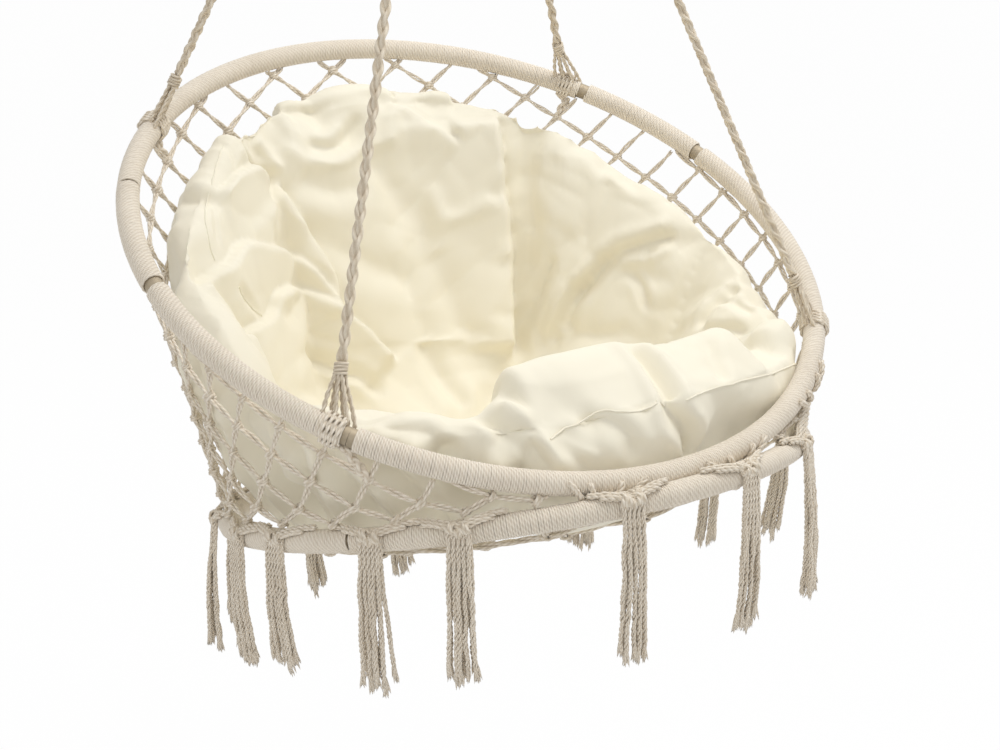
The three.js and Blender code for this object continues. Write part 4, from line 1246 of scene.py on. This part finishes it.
cloth = cushion.modifiers.new("canvas", "CLOTH")
canvas = cloth.settings
canvas.quality = 4
canvas.use_pressure = True
canvas.uniform_pressure_force = 5
canvas.tension_stiffness = canvas.compression_stiffness = 20
canvas.bending_stiffness = 0.4
canvas.shrink_min = canvas.shrink_max = -0.07
canvas.vertex_group_mass = "held"
canvas.effector_weights.gravity = 0
cloth.collision_settings.use_collision = False
cloth.point_cache.frame_start, cloth.point_cache.frame_end = 1, FRAMES
for step in range(1, FRAMES + 1):
    bpy.context.scene.frame_set(step)
blown = cushion.evaluated_get(bpy.context.evaluated_depsgraph_get())
moved = vertex_rows(blown.data) - start
cushion.modifiers.remove(cloth)
bpy.context.scene.frame_set(1)
far = np.linalg.norm(moved, axis=1, keepdims=True)
moved *= np.minimum(1, CAP / np.maximum(far, 1e-9))
moved = evened(mesh, moved, EVENED)
mesh.vertices.foreach_set("co", (start + moved).ravel())
print("moved, mm: mean", round(float(far.mean()) * 1000, 1), "most", round(float(far.max()) * 1000, 1))
cushion.vertex_groups.clear()
for piece in (cushion, still):
    finer = piece.modifiers.new("finer", "SUBSURF")
    finer.levels = finer.render_levels = 1
    settle(piece, finer)
cushion.data.polygons.foreach_set("use_smooth", [True] * len(cushion.data.polygons))
cushion.data.update()

# %% [markdown]
# ## Overlaps and long folds
# A simulation gives the small buckles, but not the way this cover was pushed into its bowl: one petal
# lies over the next, and long folds run from the seams. They are drawn here. A fold is a line of
# places on the cushion, each a turn from the back in degrees and a share, in hundredths, of the way
# from the middle up to the ridge (over 100 is down the far side), with a height and a width in
# millimetres. An edge raises the cloth on the right hand of its line, a crease is a sharp valley, a
# valley a soft one.

# %% Lines of the folds
FOLDS = [
    ("edge", 26, 12, [(33, 89), (34, 76), (36, 66), (37, 57), (37, 48), (37, 40)]),
    ("edge", 17, 12, [(335, 76), (339, 67), (344, 58), (345, 52), (350, 48), (358, 40)]),
    ("edge", 10, 9, [(306, 90), (316, 84), (326, 81), (333, 77)]),
    ("edge", 10, 9, [(279, 89), (298, 74), (308, 72), (319, 67), (334, 63), (341, 56), (344, 52)]),
    ("edge", 10, 9, [(271, 75), (307, 58), (316, 60), (333, 58), (342, 53), (351, 48), (357, 41)]),
    ("edge", 6, 8, [(7, 90), (11, 87), (18, 81), (24, 77)]),
    ("edge", 6, 6, [(24, 77), (22, 81), (22, 85)]),
    ("crease", 20, 8, [(176, 98), (177, 111), (178, 128), (175, 140), (174, 150)]),
    ("crease", 11, 8, [(211, 103), (207, 111), (203, 120), (200, 127)]),
    ("crease", 14, 8, [(82, 80), (75, 71), (66, 63), (58, 53), (53, 45)]),
    ("crease", 13, 7, [(105, 95), (104, 73), (104, 59)]),
    ("crease", 10, 8, [(344, 80), (351, 77), (358, 80), (0, 84)]),
    ("valley", 11, 7, [(328, 100), (325, 92), (327, 82), (335, 76)]),
    ("valley", 4, 4, [(320, 94), (317, 85)]),
    ("valley", 3, 4, [(305, 85), (299, 77)]),
    ("valley", 5, 5, [(297, 70), (301, 64), (306, 59)]),
    ("crease", 9, 7, [(326, 49), (340, 42), (350, 34)]),
    ("valley", 6, 7, [(227, 112), (222, 116), (216, 117)]),
    ("crease", 9, 8, [(192, 111), (191, 120), (187, 132), (185, 144)]),
    ("crease", 9, 6, [(203, 125), (201, 135), (199, 143)]),
    ("valley", 5, 6, [(199, 128), (196, 136), (193, 145)]),
    ("valley", 5, 8, [(157, 100), (163, 110), (165, 119)]),
    ("crease", 10, 8, [(50, 60), (44, 53), (39, 47), (38, 41)]),
    ("crease", 8, 6, [(60, 57), (53, 49), (49, 42)]),
    ("valley", 5, 12, [(49, 83), (45, 70), (41, 63)]),
    ("valley", 4, 12, [(64, 84), (61, 70), (56, 63)]),
    ("valley", 6, 5, [(74, 65), (76, 69), (79, 72)]),
    ("valley", 6, 5, [(71, 61), (76, 59), (80, 54)]),
    ("valley", 7, 6, [(103, 70), (108, 82), (116, 85)]),
    ("valley", 7, 6, [(107, 60), (112, 68), (119, 76)]),
    ("valley", 5, 12, [(340, 75), (348, 70), (0, 70)]),
    ("valley", 6, 16, [(337, 67), (344, 63), (356, 57), (10, 54)]),
    ("valley", 5, 16, [(14, 59), (18, 51), (23, 41)]),
    ("valley", 7, 10, [(7, 44), (12, 34), (20, 26)]),
    ("ridge", 9, 8, [(330, 101), (331, 97), (333, 87), (337, 76)]),
    ("ridge", 7, 8, [(80, 81), (74, 72), (64, 63), (55, 54)]),
    ("ridge", 6, 8, [(207, 105), (204, 110), (201, 120)]),
    ("ridge", 6, 10, [(338, 83), (341, 78), (347, 75), (358, 76), (9, 78)]),
    ("ridge", 5, 11, [(15, 70), (18, 64), (25, 65), (32, 69)]),
    ("ridge", 15, 24, [(304, 98), (316, 99), (329, 100)]),
    ("ridge", 22, 38, [(206, 97), (196, 98), (186, 99), (176, 99), (166, 99), (156, 99), (148, 98)]),
    ("ridge", 14, 28, [(338, 99), (350, 100), (2, 100), (14, 100), (26, 98)]),
    ("ridge", 20, 17, [(140, 100), (136, 104), (131, 108)]),
]
BEHIND = (*range(0, 125, 12), *range(206, 360, 11))  # turns of the upright folds on the far side
FOLDS += [("crease", 15, 11, [(turn + (turn // 12 % 3 - 1) * 3 * (-1) ** i, 114 + turn % 5 * 3 + 18 * i)
                              for i in range(4)]) for turn in BEHIND]
PIPING = [
    [(136, 130), (155, 124), (168, 119), (176, 121)], [(180, 116), (186, 118), (192, 118), (199, 127)],
    [(320, 92), (309, 86), (299, 83), (296, 77)], [(297, 70), (301, 64), (306, 59)],
]


# %% Draw the folds
RIDGE_RING = 31  # the point of a slice that lies on the ridge
FOLD_REACH = 0.12


def on_cushion(degrees, percent):
    """A place on the cushion's form."""
    turn = math.radians(degrees)
    line = slice_line(turn)
    index = min(len(line) - 1, len(line) - 1 - percent / 100 * (len(line) - 1 - RIDGE_RING))
    low = min(int(index), len(line) - 2)
    return (CENTRE + line[low].lerp(line[low + 1], index - low)) * MM


def skin_line(places, surface, per_span=8):
    """A smooth line on the cushion's skin through some places."""
    line = smooth_line([on_cushion(*place) for place in places], per_span)
    found = [surface.find_nearest(point) for point in line]
    facing = np.array([list(f[1]) for f in found])
    for _ in range(12):
        facing[1:-1] = (facing[:-2] + 2 * facing[1:-1] + facing[2:]) / 4
    return np.array([list(f[0]) for f in found]), facing / np.linalg.norm(facing, axis=1, keepdims=True)


def bulge(kind, height, width, across, to_end):
    """How far the skin moves outwards, in mm, at a distance across a line."""
    fade = np.clip(to_end / 16, 0, 1)
    fade = fade * fade * (3 - 2 * fade)
    near = np.abs(across) / width
    if kind == "edge":
        roll = np.sqrt(1 - (1 - np.clip(across / width, 0, 1)) ** 2)
        high = height * roll * np.exp(-np.clip(across - width, 0, None) / (5 * width))
        return fade * np.where(across > 0, high, -0.5 * height * np.exp(across / 16))
    if kind == "crease":
        return fade * height * (0.35 * np.exp(-(near - 2.2) ** 2) - np.exp(-near))
    if kind == "valley":
        return fade * height * (0.25 * np.exp(-(near - 2.2) ** 2) - np.exp(-near ** 2))
    return fade * height * np.exp(-near ** 2)


def skin_of(mesh):
    """A mesh in the form in which its nearest place to a point is quick to find."""
    return BVHTree.FromPolygons([v.co for v in mesh.vertices], [tuple(f.vertices) for f in mesh.polygons])


noise.seed_set(7)  # without it, noise vectors differ from run to run


def creased(place):
    """Shallow creases of canvas, in mm: sharp valleys between wide swells, in no order."""
    spot = Vector(place) * 9
    spot += noise.noise_vector(spot * 0.7) * 0.6
    sharp = 1 - abs(noise.noise(spot))
    fine = 1 - abs(noise.noise(spot * 2.1 + Vector((7, 3, 1))))
    return -2.6 * sharp ** 5 - 1.0 * fine ** 5


mesh = still.data
places, ways = vertex_rows(mesh), evened(mesh, vertex_rows(mesh, "normal"), 14)
ways /= np.linalg.norm(ways, axis=1, keepdims=True)
skin = skin_of(mesh)
lift = np.array([creased(place) for place in places])
for kind, height, width, line in FOLDS:
    points, facing = skin_line(line, skin)
    middle = points.mean(0)
    reach = np.linalg.norm(points - middle, axis=1).max() + FOLD_REACH
    close = np.nonzero(np.linalg.norm(places - middle, axis=1) < reach)[0]
    steps = np.diff(points, axis=0)
    run = np.concatenate([[0], np.cumsum(np.linalg.norm(steps, axis=1))]) * 1000
    offset = places[close][:, None, :] - points[None, :-1, :]
    share = np.clip((offset * steps).sum(2) / np.maximum((steps ** 2).sum(1), 1e-12), 0, 1)
    gap = np.linalg.norm(offset - share[:, :, None] * steps, axis=2)
    best = gap.argmin(1)
    row = np.arange(len(close))
    side = np.cross(steps[best], facing[best])
    away = offset[row, best] - share[row, best][:, None] * steps[best]
    same_side = np.clip(((ways[close] * facing[best]).sum(1) + 0.1) / 0.5, 0, 1)  # not the cloth's far side
    signed = np.sign((away * side).sum(1)) * gap[row, best] * 1000
    along = run[best] + share[row, best] * (run[best + 1] - run[best])
    lift[close] += same_side * bulge(kind, height, width, signed, np.minimum(along, run[-1] - along))
bpy.data.objects.remove(still)
mesh = cushion.data
places = vertex_rows(mesh) + evened(mesh, ways * lift[:, None] * MM, 2)
mesh.vertices.foreach_set("co", places.ravel())
mesh.update()
print("folds:", len(FOLDS), "lift, mm:", round(float(lift.min()), 1), "to", round(float(lift.max()), 1))

# %% [markdown]
# ## Canvas and piping
# The cover is plain cream canvas. Along its outer seams a thin piping is sewn in.

# %% Canvas
def canvas_material():
    """Plain cream canvas with a very fine weave and a soft sheen."""
    material, tree = new_material("cream canvas")
    spot = tree.get("ShaderNodeTexCoord", output="Object")
    weave = tree.get("ShaderNodeTexNoise", output="Fac", Vector=spot, Scale=1500.0, Detail=2.0)
    cloud = tree.get("ShaderNodeTexNoise", output="Fac", Vector=spot, Scale=9.0, Detail=2.0)
    ramp = tree.node("ShaderNodeMix", {"data_type": "RGBA"})
    tree.put(ramp.inputs[0], cloud)
    tree.put(ramp.inputs[6], (*shade(238, 231, 210), 1))
    tree.put(ramp.inputs[7], (*shade(244, 238, 220), 1))
    bump = tree.node("ShaderNodeBump", Height=weave, Strength=0.15, Distance=0.0002)
    tree.put(tree.shader.inputs["Base Color"], ramp.outputs[2])
    tree.put(tree.shader.inputs["Normal"], bump.outputs[0])
    tree.shader.inputs["Roughness"].default_value = 0.62
    tree.shader.inputs["Specular IOR Level"].default_value = 0.3
    tree.shader.inputs["Sheen Weight"].default_value = 0.15
    return material


canvas_cream = canvas_material()
cushion.data.materials.append(canvas_cream)
dress(cushion, "cushion", "cushion")
skin = skin_of(mesh)
piping = [[Vector(p) / MM + Vector(n) * 0.2 for p, n in zip(*skin_line(line, skin))] for line in PIPING]
sewn_in = grow("cushion_piping", lines_object("piping lines", piping), bend_tube, Tube_radius=0.001,
               Sides=8, Material=canvas_cream)
dress(sewn_in, "cushion")
print("cushion:", len(cushion.data.polygons), "faces")

# %% [markdown]
# ## The room
# The chair is seen against a plain pale background, with soft light from above and in front. The
# floor lies well under the seat and takes a faint shadow.

# %% Floor and world
FLOOR_Z, FLOOR_HALF = -1.75, 30


def seen_directly(tree):
    """1 where the camera or a mirror looks, and 0 for light that falls on something."""
    rays = tree.node("ShaderNodeLightPath")
    return tree.sum("MAXIMUM", tree.out(rays, "Is Camera Ray"), tree.out(rays, "Is Glossy Ray"))


def floor_material(name, colour):
    """A floor that the camera and mirrors see nearly white, and light falls on as usual."""
    material, tree = new_material(name)
    tree.shader.inputs["Base Color"].default_value = (*colour, 1)
    tree.shader.inputs["Roughness"].default_value = 0.9
    seen = seen_directly(tree)
    white = tree.node("ShaderNodeEmission", Strength=1.0)
    mix = tree.node("ShaderNodeMixShader", i0=seen * 0.97, i1=tree.out(tree.shader), i2=tree.out(white))
    end = next(n for n in tree.tree.nodes if n.type == "OUTPUT_MATERIAL")
    tree.tree.links.new(mix.outputs[0], end.inputs["Surface"])
    return material


floor_mesh = bpy.data.meshes.new("floor")
floor_mesh.from_pydata([(x * FLOOR_HALF, y * FLOOR_HALF, FLOOR_Z)
                        for x, y in ((-1, -1), (1, -1), (1, 1), (-1, 1))], [], [(0, 1, 2, 3)])
floor_mesh.materials.append(floor_material("pale floor", (0.9, 0.9, 0.9)))
into_scene("floor", floor_mesh)

world = bpy.data.worlds.new("studio")
bpy.context.scene.world = world
world.use_nodes = True
sky, background = Tree(world.node_tree), world.node_tree.nodes["Background"]
sky.put(background.inputs["Strength"], seen_directly(sky) * 0.4 + 0.6)
background.inputs["Color"].default_value = (1, 1, 1, 1)
print("floor at", FLOOR_Z, "m")


# %% Lamps
def soft_lamp(name, place, target, width, watts):
    """A large square lamp that looks at a target."""
    lamp = into_scene(name, bpy.data.lights.new(name, "AREA"))
    lamp.data.size = width
    lamp.data.energy = watts
    lamp.location = place
    lamp.rotation_euler = (Vector(target) - Vector(place)).to_track_quat("-Z", "Y").to_euler()


middle = CENTRE * MM
soft_lamp("key lamp", (0.95, -0.5, 1.4), middle, 1.3, 38)
soft_lamp("fill lamp", (-2.2, -1.8, 0.5), middle, 2.0, 10)
soft_lamp("back lamp", (0.5, 2.4, 0.8), middle, 1.6, 12)
bpy.context.scene.view_settings.view_transform = "Standard"
print("lamps:", len(bpy.data.lights))
